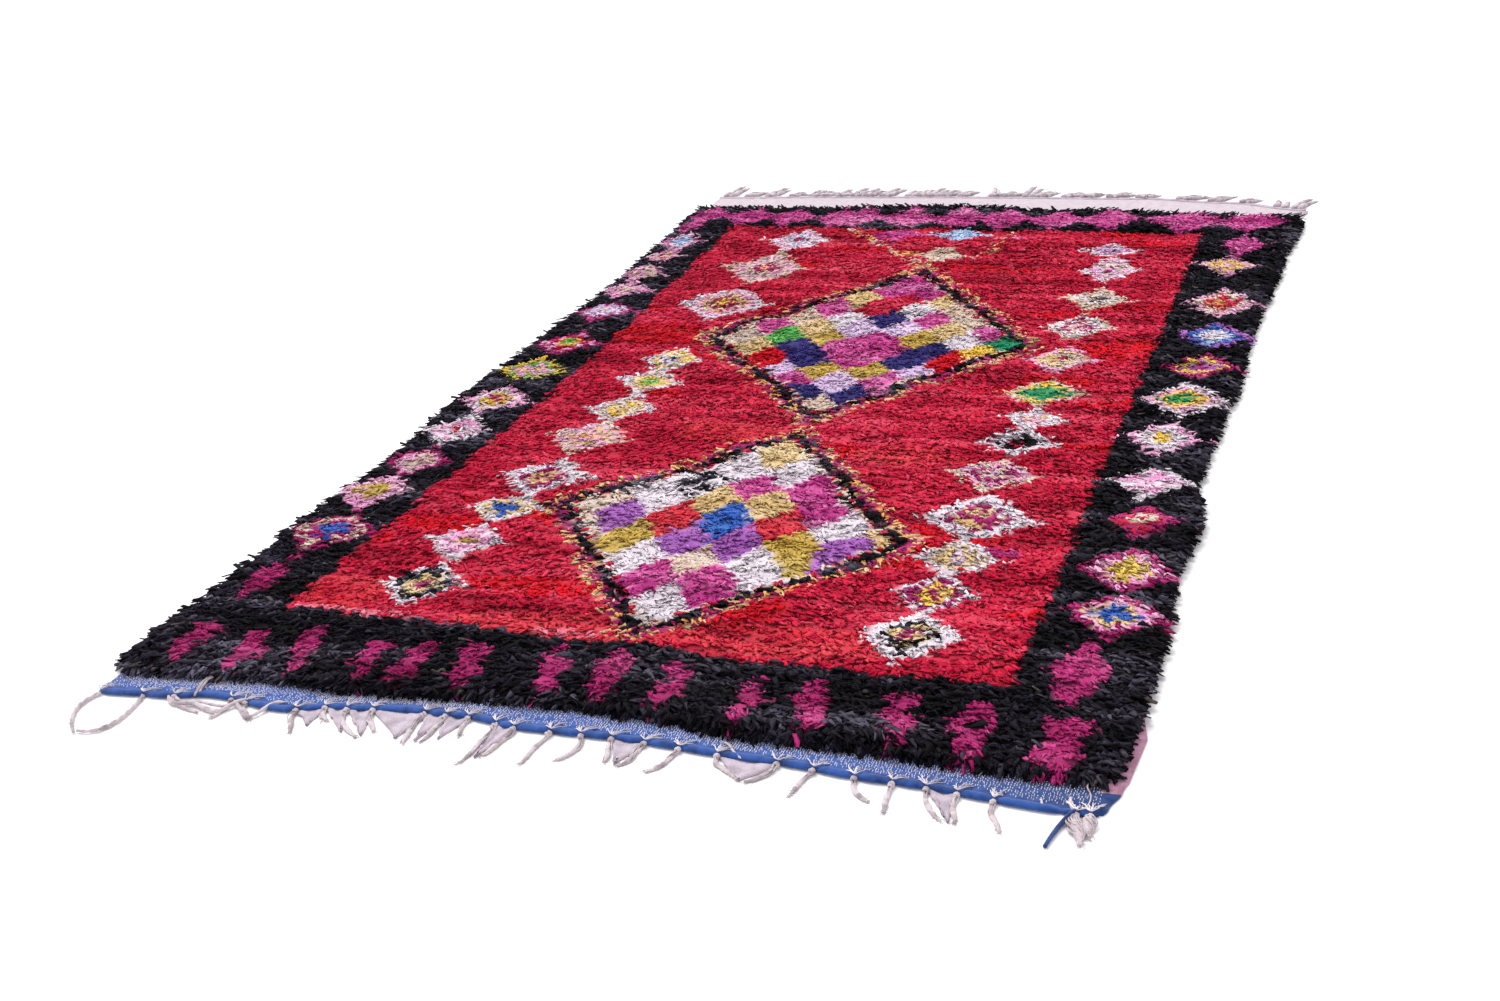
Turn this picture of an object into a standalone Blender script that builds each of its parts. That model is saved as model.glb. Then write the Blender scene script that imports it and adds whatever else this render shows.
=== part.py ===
"""A boucherouite rug lying flat: a woven ground cloth, a shaggy rag pile and two knotted warp fringes.

Sizes are in metres, with +Z up. The outline is drawn in loom coordinates: X runs from the pile's near
left corner to the right, and Y runs from the near end to the far end. At the end everything is moved so
that the origin is on the floor, under the middle of the rug's bounding box.
"""

import math
import random
from collections import namedtuple

import bmesh
import bpy
from mathutils import Vector, noise

RUG_NAME = "boucherouite_rug"

# Thicknesses and heights over the floor
CLOTH_THICKNESS = 0.003
GAP = 0.0003
PILE_FOOT = CLOTH_THICKNESS + GAP
PILE_HEIGHT = 0.0205
RIM_HEIGHT = 0.0145
LUMP_HEIGHT = 0.010
LUMPS_PER_METRE = Vector((6.0, 11.0, 0.0))

# The pile's outer edges, at the tips of its locks: place along the edge, place of the edge
PILE_WIDTH = 1.49
PILE_LENGTH = 2.50
PILE_LEFT = (
    (0.02, -0.024),
    (0.33, -0.020),
    (0.60, -0.025),
    (0.82, -0.012),
    (1.10, -0.032),
    (1.42, -0.024),
    (1.80, -0.020),
    (2.20, -0.034),
    (2.45, -0.054),
)
PILE_RIGHT = (
    (0.00, 1.484),
    (0.10, 1.490),
    (0.18, 1.501),
    (0.40, 1.500),
    (0.60, 1.485),
    (0.74, 1.496),
    (0.95, 1.470),
    (1.20, 1.474),
    (1.40, 1.483),
    (1.60, 1.476),
    (2.18, 1.488),
    (2.40, 1.502),
)
PILE_NEAR = (
    (0.00, 0.006),
    (0.15, 0.013),
    (0.28, 0.026),
    (0.36, 0.018),
    (0.70, 0.040),
    (0.85, 0.034),
    (1.00, 0.014),
    (1.15, 0.011),
    (1.30, 0.000),
    (1.49, -0.009),
)
PILE_FAR = ((-0.05, 2.540), (0.75, 2.548), (1.10, 2.528), (1.50, 2.500))

# The woven cloth's own edges, where its end bands and its pink selvedge show
CLOTH_LEFT = (
    (-0.05, 0.000),
    (0.10, 0.003),
    (0.60, 0.000),
    (0.82, 0.010),
    (1.10, -0.006),
    (1.80, 0.004),
    (2.20, -0.008),
    (2.67, -0.044),
)
CLOTH_RIGHT = (
    (-0.060, 1.478),
    (-0.015, 1.488),
    (0.005, 1.497),
    (0.060, 1.510),
    (0.124, 1.505),
    (0.200, 1.482),
    (0.850, 1.452),
    (1.330, 1.462),
    (1.750, 1.452),
    (2.500, 1.487),
    (2.570, 1.498),
)
BAND_NEAR = (
    (0.00, -0.043),
    (0.10, -0.036),
    (0.19, -0.019),
    (0.31, -0.034),
    (0.40, -0.012),
    (0.50, 0.000),
    (0.60, 0.001),
    (0.68, -0.011),
    (0.82, -0.009),
    (1.05, -0.022),
    (1.20, -0.035),
    (1.45, -0.055),
    (1.49, -0.053),
)
BAND_FAR = ((-0.04, 2.666), (0.25, 2.675), (0.66, 2.680), (1.10, 2.673), (1.30, 2.640), (1.50, 2.580))
SIDE_STEPS = 30

# The pile's slab: its cells, and the locks that stand out of each cell at its rim
PILE_COLUMNS = 36
PILE_ROWS = 60
SHOULDER_WIDTH = 0.016
LOCK_REACH = 0.022
LOCK_SPREAD = (0.75, 1.25)
LOCK_DRIFT = 0.18
LOCK_SEED = 41
LockStep = namedtuple("LockStep", "share narrow low high")
LOCK_STEPS = (
    LockStep(share=0.36, narrow=0.52, low=0.0038, high=0.0130),
    LockStep(share=1.00, narrow=0.18, low=0.0042, high=0.0085),
)

# The strips that hold the fringes, parted from the cloth's edge
STRIP_WIDTH = 0.007
STRIP_THICKNESS = 0.004
STRAND_ROOT_WIDTH = 0.010
NEAR_STRIP_ENDS = (0.000, 1.479)
FAR_STRIP_ENDS = (-0.044, 1.498)

# A strand's sections from its root: share of its route, width and height
StrandStep = namedtuple("StrandStep", "share width height")
KNOTTED = (
    StrandStep(0.10, 0.0120, 0.0090),
    StrandStep(0.24, 0.0105, 0.0085),
    StrandStep(0.34, 0.0065, 0.0055),
    StrandStep(0.68, 0.0075, 0.0050),
    StrandStep(1.00, 0.0030, 0.0030),
)
PLAIN = (
    StrandStep(0.15, 0.0070, 0.0045),
    StrandStep(0.45, 0.0060, 0.0045),
    StrandStep(0.75, 0.0055, 0.0045),
    StrandStep(1.00, 0.0040, 0.0035),
)
FLUFFY = (
    StrandStep(0.12, 0.0130, 0.0100),
    StrandStep(0.35, 0.0125, 0.0090),
    StrandStep(0.70, 0.0125, 0.0075),
    StrandStep(1.00, 0.0050, 0.0040),
)

# Each strand: its root along the edge, where its tip lies from the root, and how far its route bows
Strand = namedtuple("Strand", "root reach_x reach_y bow_x bow_y steps", defaults=(0.0, 0.0, KNOTTED))
NEAR_STRANDS = (
    Strand(0.008, 0.036, -0.106, -0.026, 0.004, PLAIN),
    Strand(0.080, -0.024, -0.098, 0.026, -0.062, PLAIN),
    Strand(0.132, 0.058, -0.030),
    Strand(0.226, -0.006, -0.044),
    Strand(0.252, 0.028, -0.034),
    Strand(0.339, 0.022, -0.052),
    Strand(0.378, 0.016, -0.028),
    Strand(0.412, 0.050, -0.064),
    Strand(0.451, 0.028, -0.048),
    Strand(0.532, 0.006, -0.074, -0.012),
    Strand(0.564, -0.006, -0.062),
    Strand(0.599, 0.003, -0.040),
    Strand(0.645, -0.006, -0.094),
    Strand(0.675, -0.015, -0.068),
    Strand(0.731, -0.008, -0.078, -0.012),
    Strand(0.775, -0.008, -0.060, 0.016),
    Strand(0.821, 0.014, -0.050),
    Strand(0.869, -0.016, -0.054),
    Strand(0.920, -0.026, -0.058),
    Strand(0.976, 0.040, -0.042),
    Strand(1.060, -0.030, -0.044),
    Strand(1.111, -0.014, -0.054, -0.010),
    Strand(1.167, 0.030, -0.046),
    Strand(1.217, 0.005, -0.062),
    Strand(1.262, 0.030, -0.058),
    Strand(1.302, 0.008, -0.054),
    Strand(1.349, 0.020, -0.058),
    Strand(1.432, -0.016, -0.066, 0.006, 0.0, PLAIN),
    Strand(1.452, 0.004, -0.058, 0.0, 0.0, FLUFFY),
    Strand(1.469, 0.008, -0.056, 0.0, 0.0, FLUFFY),
)
FAR_STRANDS = (
    Strand(-0.028, 0.010, 0.120),
    Strand(0.031, 0.020, 0.060),
    Strand(0.091, 0.024, 0.097),
    Strand(0.159, 0.018, 0.053),
    Strand(0.208, 0.008, 0.077),
    Strand(0.243, 0.014, 0.060),
    Strand(0.289, 0.012, 0.077),
    Strand(0.326, 0.018, 0.094),
    Strand(0.363, 0.014, 0.094),
    Strand(0.410, 0.022, 0.092),
    Strand(0.477, 0.010, 0.065),
    Strand(0.508, 0.008, 0.077),
    Strand(0.540, 0.014, 0.092),
    Strand(0.571, 0.031, 0.072),
    Strand(0.620, 0.018, 0.067),
    Strand(0.701, -0.011, 0.097),
    Strand(0.735, 0.020, 0.060),
    Strand(0.790, 0.006, 0.114, -0.010),
    Strand(0.822, 0.032, 0.063),
    Strand(0.891, 0.040, 0.055),
    Strand(0.941, 0.032, 0.053),
    Strand(1.008, 0.044, 0.060),
    Strand(1.080, 0.030, 0.045),
    Strand(1.182, 0.048, 0.048),
    Strand(1.261, 0.036, 0.065),
    Strand(1.339, 0.024, 0.045),
    Strand(1.423, -0.002, 0.067),
    Strand(1.464, 0.034, 0.097),
)

# Colours are linear red, green and blue
RAG_RED = (0.480, 0.020, 0.045)
WARP_IVORY = (0.600, 0.520, 0.545)
CLOTH_PINK = (0.560, 0.400, 0.470)


def smooth_between(table, place):
    """The edge's place, on a smooth line through the table's rows."""
    for (start, low), (end, high) in zip(table, table[1:]):
        if place <= end:
            share = min(max((place - start) / (end - start), 0.0), 1.0)
            return low + (high - low) * (1 - math.cos(math.pi * share)) / 2
    return table[-1][1]


def new_object(name, bm, colour, roughness=0.95):
    """Turn a bmesh into an object with its own plain material."""
    mesh = bpy.data.meshes.new(name)
    bm.to_mesh(mesh)
    bm.free()
    material = bpy.data.materials.new(name)
    material.use_nodes = True
    shader = material.node_tree.nodes["Principled BSDF"]
    shader.inputs["Base Color"].default_value = (*colour, 1.0)
    shader.inputs["Roughness"].default_value = roughness
    shader.inputs["Metallic"].default_value = 0.0
    mesh.materials.append(material)
    return bpy.data.objects.new(name, mesh)


def thicken_upwards(bm, place_top):
    """Extrude the bmesh's one flat layer of faces into a slab, and return its underside and its sides.

    place_top gives the height of each new vertex, from that vertex and whether it is on the rim. The
    sides are sorted by place, from the near end to the far one.
    """
    underside = list(bm.faces)
    rim = {vertex for vertex in bm.verts if vertex.is_boundary}
    grown = bmesh.ops.extrude_face_region(bm, geom=underside)["geom"]
    top = {item for item in grown if isinstance(item, bmesh.types.BMVert)}
    for vertex in top:
        on_rim = any(edge.other_vert(vertex) in rim for edge in vertex.link_edges)
        vertex.co.z = place_top(vertex, on_rim)
    sides = [face for face in bm.faces if 0 < sum(vertex in top for vertex in face.verts) < len(face.verts)]
    sides.sort(key=lambda side: side.calc_center_median().yx[:])
    bmesh.ops.recalc_face_normals(bm, faces=bm.faces)
    return underside, sides


def draw_out(bm, face, middle, across, width, low, high):
    """Extrude one four-sided face and set its new section: its middle, direction, width and heights."""
    new_face = bmesh.ops.extrude_discrete_faces(bm, faces=[face])["faces"][0]
    centre = new_face.calc_center_median()
    for vertex in new_face.verts:
        side = math.copysign(width / 2, (vertex.co - centre).dot(across))
        height = high if vertex.co.z > centre.z else low
        vertex.co = Vector((middle.x + across.x * side, middle.y + across.y * side, height))
    return new_face


def shouldered(share, cells, length):
    """Where a grid line lies, as a share of the length: the two end cells are only a shoulder wide."""
    line = round(share * cells)
    shoulder = SHOULDER_WIDTH / length
    if line == 0 or line == cells:
        return line / cells
    return shoulder + (1 - 2 * shoulder) * (line - 1) / (cells - 2)


def pile_point(across, along):
    """Loom coordinates of a point of the slab, from its shares of the width and of the length."""
    guess = PILE_WIDTH * across
    near = smooth_between(PILE_NEAR, guess) + LOCK_REACH
    far = smooth_between(PILE_FAR, guess) - LOCK_REACH
    y = near + (far - near) * along
    left = smooth_between(PILE_LEFT, y) + LOCK_REACH
    right = smooth_between(PILE_RIGHT, y) - LOCK_REACH
    return left + (right - left) * across, y


def pile_top(vertex, on_rim):
    """Height of the lumpy top, which falls away at the rim."""
    if on_rim:
        return RIM_HEIGHT
    return PILE_HEIGHT + LUMP_HEIGHT * noise.noise(vertex.co * LUMPS_PER_METRE)


def grow_lock(bm, root, dice):
    """Draw a tapering lock of rags out of one side face of the slab."""
    outward = Vector((root.normal.x, root.normal.y, 0.0)).normalized()
    across = Vector((-outward.y, outward.x, 0.0))
    centre = root.calc_center_median()
    places = [(vertex.co - centre).dot(across) for vertex in root.verts]
    width = max(places) - min(places)
    reach = LOCK_REACH * dice.uniform(*LOCK_SPREAD)
    drift = width * dice.uniform(-LOCK_DRIFT, LOCK_DRIFT)
    face = root
    for step in LOCK_STEPS:
        middle = centre + outward * reach * step.share + across * drift * step.share
        face = draw_out(bm, face, middle, across, width * step.narrow, step.low, step.high)


def make_pile():
    """The rag pile: a lumpy slab on a flat underside, with a lock out of every cell of its rim."""
    bm = bmesh.new()
    bmesh.ops.create_grid(bm, x_segments=PILE_COLUMNS, y_segments=PILE_ROWS, size=0.5)
    for vertex in bm.verts:
        across = shouldered(vertex.co.x + 0.5, PILE_COLUMNS, PILE_WIDTH)
        along = shouldered(vertex.co.y + 0.5, PILE_ROWS, PILE_LENGTH)
        x, y = pile_point(across, along)
        vertex.co = Vector((x, y, PILE_FOOT))
    underside, sides = thicken_upwards(bm, pile_top)
    bmesh.ops.dissolve_faces(bm, faces=underside)
    dice = random.Random(LOCK_SEED)
    for side in sides:
        grow_lock(bm, side, dice)
    return new_object("pile", bm, RAG_RED)


def strip_stations(strands, ends):
    """Places along a strip where its cells part, so that each strand has a root of its own."""
    stations = [ends[0]]
    for strand in strands:
        stations += [strand.root - STRAND_ROOT_WIDTH / 2, strand.root + STRAND_ROOT_WIDTH / 2]
    return stations + [ends[1]]


def draw_strand(bm, root, strand, outward):
    """Draw a strand out of its root face along a bowed route. It lies level on the floor."""
    start = root.calc_center_median()
    start.z = 0.0
    tip = start + Vector((strand.reach_x, strand.reach_y, 0.0))
    bend = start + Vector((strand.bow_x, strand.reach_y / 2 + strand.bow_y, 0.0))
    face = root
    for step in strand.steps:
        share = step.share
        place = start * (1 - share) ** 2 + bend * 2 * share * (1 - share) + tip * share**2
        heading = ((bend - start) * (1 - share) + (tip - bend) * share).normalized()
        across = Vector((-heading.y, heading.x, 0.0)) * outward
        face = draw_out(bm, face, place, across, step.width, 0.0, step.height)


def make_fringe(name, edge, ends, strands, outward):
    """A narrow strip along the cloth's edge, with its strands drawn out of its outer side.

    The strip's cells are by turns a gap and a root, so every other outer side is a root.
    """
    bm = bmesh.new()
    stations = strip_stations(strands, ends)
    cells = len(stations) - 1
    bmesh.ops.create_grid(bm, x_segments=cells, y_segments=1, size=0.5)
    for vertex in bm.verts:
        x = stations[round((vertex.co.x + 0.5) * cells)]
        is_outer = vertex.co.y * outward > 0
        y = smooth_between(edge, x) - outward * (0.0 if is_outer else STRIP_WIDTH)
        vertex.co = Vector((x, y, 0.0))
    sides = thicken_upwards(bm, lambda vertex, on_rim: STRIP_THICKNESS)[1]
    outer = [side for side in sides if side.normal.y * outward > abs(side.normal.x)]
    outer.sort(key=lambda side: side.calc_center_median().x)
    for root, strand in zip(outer[1::2], strands):
        draw_strand(bm, root, strand, outward)
    return new_object(name, bm, WARP_IVORY)


def make_ground_cloth():
    """The woven cloth from strip to strip, as one flat outline with thickness."""
    setback = STRIP_WIDTH + GAP
    near_stations = strip_stations(NEAR_STRANDS, NEAR_STRIP_ENDS)
    far_stations = strip_stations(FAR_STRANDS, FAR_STRIP_ENDS)
    near = [(x, smooth_between(BAND_NEAR, x) + setback) for x in near_stations]
    far = [(x, smooth_between(BAND_FAR, x) - setback) for x in far_stations]
    shares = [step / SIDE_STEPS for step in range(1, SIDE_STEPS)]
    right_ys = [near[-1][1] + (far[-1][1] - near[-1][1]) * share for share in shares]
    left_ys = [near[0][1] + (far[0][1] - near[0][1]) * share for share in shares]
    right = [(smooth_between(CLOTH_RIGHT, y), y) for y in right_ys]
    left = [(smooth_between(CLOTH_LEFT, y), y) for y in left_ys]
    outline = near + right + far[::-1] + left[::-1]

    curve = bpy.data.curves.new("ground_outline", "CURVE")
    curve.dimensions = "2D"
    curve.fill_mode = "BOTH"
    curve.extrude = CLOTH_THICKNESS / 2
    spline = curve.splines.new("POLY")
    spline.points.add(len(outline) - 1)
    for point, (x, y) in zip(spline.points, outline):
        point.co = (x, y, 0.0, 1.0)
    spline.use_cyclic_u = True
    flat = bpy.data.objects.new("ground_outline", curve)
    bpy.context.scene.collection.objects.link(flat)
    bpy.context.view_layer.update()
    mesh = bpy.data.meshes.new_from_object(flat.evaluated_get(bpy.context.evaluated_depsgraph_get()))
    bpy.data.objects.remove(flat)

    bm = bmesh.new()
    bm.from_mesh(mesh)
    bmesh.ops.remove_doubles(bm, verts=bm.verts, dist=0.00001)
    bmesh.ops.translate(bm, verts=bm.verts, vec=(0.0, 0.0, CLOTH_THICKNESS / 2))
    bmesh.ops.recalc_face_normals(bm, faces=bm.faces)
    return new_object("ground_cloth", bm, CLOTH_PINK)


def centre_on_floor(pieces):
    """Move the pieces together so that the origin is under the middle of their bounding box."""
    points = [vertex.co for piece in pieces for vertex in piece.data.vertices]
    middle_x = (min(p.x for p in points) + max(p.x for p in points)) / 2
    middle_y = (min(p.y for p in points) + max(p.y for p in points)) / 2
    for piece in pieces:
        piece.location = (-middle_x, -middle_y, 0.0)


def main():
    """Build the rug in a collection of its own."""
    for thing in list(bpy.data.objects):
        bpy.data.objects.remove(thing)
    collection = bpy.data.collections.new(RUG_NAME)
    bpy.context.scene.collection.children.link(collection)
    pieces = [
        make_ground_cloth(),
        make_pile(),
        make_fringe("near_fringe", BAND_NEAR, NEAR_STRIP_ENDS, NEAR_STRANDS, -1),
        make_fringe("far_fringe", BAND_FAR, FAR_STRIP_ENDS, FAR_STRANDS, 1),
    ]
    for piece in pieces:
        collection.objects.link(piece)
    centre_on_floor(pieces)


main()
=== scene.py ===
"""The looks of a boucherouite rug: rag pile, woven bands, selvedge, knotted warp tassels and loose yarn.

Everything is placed in loom coordinates, as in the part's source: X runs from the pile's near left corner
to the right and Y from the near end to the far end, in metres. The shift from there to the frame's own
origin is found from the ground cloth's box.
"""

import math
from collections import namedtuple

import bpy
import numpy as np
from mathutils import Matrix, Vector, noise


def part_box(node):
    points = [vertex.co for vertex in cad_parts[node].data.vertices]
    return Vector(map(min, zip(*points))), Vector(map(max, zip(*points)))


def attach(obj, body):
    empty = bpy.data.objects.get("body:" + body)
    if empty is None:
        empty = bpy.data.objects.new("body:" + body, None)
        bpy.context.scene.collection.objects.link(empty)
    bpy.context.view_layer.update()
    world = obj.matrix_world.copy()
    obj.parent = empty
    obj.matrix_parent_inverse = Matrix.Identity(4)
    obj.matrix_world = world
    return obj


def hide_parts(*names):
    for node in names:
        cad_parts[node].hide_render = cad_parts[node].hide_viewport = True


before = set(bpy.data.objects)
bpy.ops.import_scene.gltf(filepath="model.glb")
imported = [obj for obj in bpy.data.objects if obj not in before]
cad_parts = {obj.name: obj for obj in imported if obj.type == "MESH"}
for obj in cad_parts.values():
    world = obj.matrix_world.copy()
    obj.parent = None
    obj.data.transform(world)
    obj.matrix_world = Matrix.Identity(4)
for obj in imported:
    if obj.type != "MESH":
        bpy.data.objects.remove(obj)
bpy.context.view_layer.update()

# Heights over the floor, and how many lumps the pile has in a metre
CLOTH_THICKNESS = 0.003
PILE_FOOT = 0.0033
PILE_HEIGHT = 0.0205
RIM_HEIGHT = 0.0145
LUMP_HEIGHT = 0.010
LUMPS_PER_METRE = (6.0, 11.0)
LOCK_CEILING = 0.0355

# The pile's outer edges, at the tips of its locks: place along the edge, place of the edge
PILE_WIDTH = 1.49
LOCK_REACH = 0.022
PILE_LEFT = (
    (0.02, -0.024), (0.33, -0.020), (0.60, -0.025), (0.82, -0.012), (1.10, -0.032), (1.42, -0.024),
    (1.80, -0.020), (2.20, -0.034), (2.45, -0.054),
)
PILE_RIGHT = (
    (0.00, 1.494), (0.10, 1.495), (0.18, 1.500), (0.40, 1.500), (0.60, 1.485), (0.74, 1.496),
    (0.95, 1.470), (1.20, 1.474), (1.40, 1.483), (1.60, 1.476), (2.18, 1.488), (2.40, 1.502),
)
PILE_NEAR = (
    (0.00, 0.006), (0.15, 0.013), (0.28, 0.026), (0.36, 0.018), (0.70, 0.040), (0.85, 0.034),
    (1.00, 0.014), (1.15, 0.013), (1.30, 0.004), (1.49, -0.003),
)
PILE_FAR = ((-0.05, 2.540), (0.75, 2.548), (1.10, 2.528), (1.50, 2.500))

# The woven cloth's own edges, in the same way
CLOTH_LEFT = (
    (-0.05, 0.000), (0.10, 0.003), (0.60, 0.000), (0.82, 0.010), (1.10, -0.006), (1.80, 0.004),
    (2.20, -0.008), (2.67, -0.044),
)
CLOTH_RIGHT = (
    (-0.060, 1.477), (-0.032, 1.486), (0.006, 1.496), (0.078, 1.512), (0.129, 1.506), (0.200, 1.482),
    (0.850, 1.452), (1.330, 1.462), (1.750, 1.452), (2.500, 1.487), (2.570, 1.498),
)
BAND_NEAR = (
    (0.00, -0.043), (0.10, -0.036), (0.19, -0.019), (0.31, -0.034), (0.40, -0.012), (0.50, 0.000),
    (0.60, 0.001), (0.68, -0.011), (0.82, -0.009), (1.05, -0.022), (1.20, -0.035), (1.45, -0.055),
    (1.49, -0.053),
)
BAND_FAR = ((-0.04, 2.666), (0.25, 2.675), (0.66, 2.680), (1.10, 2.673), (1.30, 2.640), (1.50, 2.580))
STRIP_SETBACK = 0.0073
ROLL_INSET = 0.0055
WARP_PITCH = 0.0037
STRAND_ROOT_WIDTH = 0.010
NEAR_STRIP_ENDS = (0.000, 1.479)
FAR_STRIP_ENDS = (-0.044, 1.498)

# The bands' depths, the pitch of the near band's ribs, and where the pink selvedge begins
NEAR_BAND_DEPTH = 0.078
FAR_BAND_DEPTH = 0.150
RIB_PITCH = 0.0015
CLOTH_LENGTH = 2.70
SELVEDGE_START = 1.470

# Each strand: its root along the edge, where its tip lies from the root, how far its route bows, its kind
Strand = namedtuple("Strand", "root reach_x reach_y bow_x bow_y kind", defaults=(0.0, 0.0, "knotted"))
NEAR_STRANDS = [Strand(*row) for row in (
    (0.008, 0.036, -0.106, -0.026, 0.004, "loop"),
    (0.080, -0.034, -0.107, 0.028, -0.058, "loop"),
    (0.132, 0.058, -0.030), (0.226, -0.006, -0.044), (0.252, 0.028, -0.034), (0.339, 0.022, -0.052),
    (0.378, 0.016, -0.028), (0.412, 0.050, -0.064), (0.451, 0.028, -0.048), (0.532, 0.006, -0.074, -0.012),
    (0.564, -0.006, -0.062), (0.599, 0.003, -0.040), (0.645, -0.006, -0.094), (0.675, -0.015, -0.068),
    (0.731, -0.008, -0.078, -0.012), (0.775, -0.008, -0.060, 0.016), (0.821, 0.014, -0.050),
    (0.869, -0.016, -0.054), (0.920, -0.026, -0.058), (0.976, 0.040, -0.042), (1.060, -0.030, -0.044),
    (1.111, -0.014, -0.054, -0.010), (1.167, 0.030, -0.046), (1.217, 0.005, -0.062),
    (1.262, 0.030, -0.058), (1.302, 0.008, -0.054), (1.349, 0.020, -0.058),
    (1.432, -0.016, -0.066, 0.006, 0.0, "weft"),
    (1.452, 0.016, -0.058, 0.0, 0.0, "fluffy"),
    (1.469, 0.003, -0.040, 0.0, 0.0, "fluffy"),
)]
FAR_STRANDS = [Strand(*row) for row in (
    (-0.028, 0.010, 0.120), (0.031, 0.020, 0.060), (0.091, 0.024, 0.097), (0.159, 0.018, 0.053),
    (0.208, 0.008, 0.077), (0.243, 0.014, 0.060), (0.289, 0.012, 0.077), (0.326, 0.018, 0.094),
    (0.363, 0.014, 0.094), (0.410, 0.022, 0.092), (0.477, 0.010, 0.065), (0.508, 0.008, 0.077),
    (0.540, 0.014, 0.092), (0.571, 0.031, 0.072), (0.620, 0.018, 0.067), (0.701, -0.011, 0.097),
    (0.735, 0.020, 0.060), (0.790, 0.006, 0.114, -0.010), (0.822, 0.032, 0.063), (0.891, 0.040, 0.055),
    (0.941, 0.032, 0.053), (1.008, 0.044, 0.060), (1.080, 0.030, 0.045), (1.182, 0.048, 0.048),
    (1.261, 0.036, 0.065), (1.339, 0.024, 0.045), (1.423, -0.002, 0.067), (1.464, 0.034, 0.097),
)]

# Roots of the near strands that a web joins
WEBS = (
    (0.339, 0.378), (0.378, 0.412), (0.412, 0.451), (0.451, 0.532), (0.532, 0.564), (0.564, 0.599),
    (0.645, 0.675), (0.821, 0.869), (0.976, 1.060), (1.262, 1.302),
)

# A tassel's half width along its length, by its kind
NEAR_WIDTHS = ((0.0, 0.0022), (0.15, 0.0020), (0.45, 0.0034), (0.80, 0.0036), (1.0, 0.0016))
FAR_WIDTHS = ((0.0, 0.0085), (0.25, 0.0070), (0.55, 0.0062), (0.85, 0.0048), (1.0, 0.0014))
FLUFFY_WIDTHS = ((0.0, 0.0036), (0.30, 0.0062), (0.75, 0.0056), (1.0, 0.0022))

# The corner loop's two-ply yarn, and the yarn that ties each near tassel
LOOP_PLIES = 2
LOOP_RADIUS = 0.0015
LOOP_PLY = 0.0021
LOOP_PITCH = 0.030
LOOP_HEIGHT = 0.0036
LOOP_TAPER = 0.7
KNOT_RADIUS = 0.0027
KNOT_YARN = 0.0019
KNOT_TURNS = 2.3

# Loose yarns of the near band: spots of each line with their height, and the yarn's half thickness
LOOSE_YARNS = (
    (((0.120, -0.030, 0.005), (0.140, -0.052, 0.003), (0.168, -0.040, 0.006), (0.205, -0.054, 0.004),
      (0.225, -0.058, 0.003), (0.234, -0.032, 0.006), (0.252, -0.015, 0.005)), 0.0038),
    (((0.130, -0.030, 0.005), (0.155, -0.046, 0.005), (0.180, -0.036, 0.005), (0.210, -0.046, 0.008),
      (0.228, -0.044, 0.006), (0.246, -0.022, 0.006)), 0.0026),
    (((0.232, -0.026, 0.006), (0.256, -0.044, 0.004), (0.276, -0.066, 0.003), (0.290, -0.040, 0.005),
      (0.292, -0.020, 0.006), (0.312, -0.012, 0.005)), 0.0030),
    (((0.163, -0.026, 0.006), (0.156, -0.004, 0.006), (0.152, 0.012, 0.008), (0.158, 0.030, 0.009)), 0.0026),
    (((0.166, -0.020, 0.006), (0.160, 0.000, 0.008), (0.157, 0.020, 0.009), (0.166, 0.026, 0.009)), 0.0016),
    (((0.973, 0.012, 0.006), (0.984, 0.006, 0.006), (0.992, -0.006, 0.006), (1.010, -0.022, 0.006)), 0.0017),
    (((1.455, 0.010, 0.009), (1.453, 0.002, 0.007), (1.462, -0.012, 0.006), (1.463, -0.030, 0.006),
      (1.459, -0.046, 0.007), (1.451, -0.049, 0.007), (1.443, -0.048, 0.006)), 0.0009),
    (((1.438, -0.020, 0.005), (1.440, -0.032, 0.007), (1.443, -0.044, 0.007), (1.451, -0.052, 0.006)),
     0.0020),
    (((1.404, -0.030, 0.004), (1.407, -0.042, 0.006), (1.411, -0.054, 0.005)), 0.0015),
)
BLUE_END = (
    (1.450, -0.052), (1.443, -0.064), (1.437, -0.079), (1.433, -0.096), (1.430, -0.112), (1.428, -0.126),
)

# The camera, at the photograph's viewing angle, with its place in loom coordinates
CAMERA_PLACE = Vector((1.836, -1.916, 1.274))
CAMERA_HEADING = math.radians(22.33)
CAMERA_TILT_DOWN = math.radians(23.70)
CAMERA_ROLL = math.radians(-5.63)
CAMERA_LENS_MM = 44.57
SENSOR_WIDTH_MM = 36.0

# The floor and the studio's light
FLOOR_SIZE = 60.0
FLOOR_HEIGHT = -0.0002
FLOOR_GREY = 0.93
SKY_COLOUR = (1.0, 0.975, 1.0, 1.0)
SKY_STRENGTH = 0.92
LAMP_STRENGTH = 2.35
LAMP_ANGLE = math.radians(38.0)
LIGHT_FROM = Vector((-1.3, 1.1, 2.2))

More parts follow.
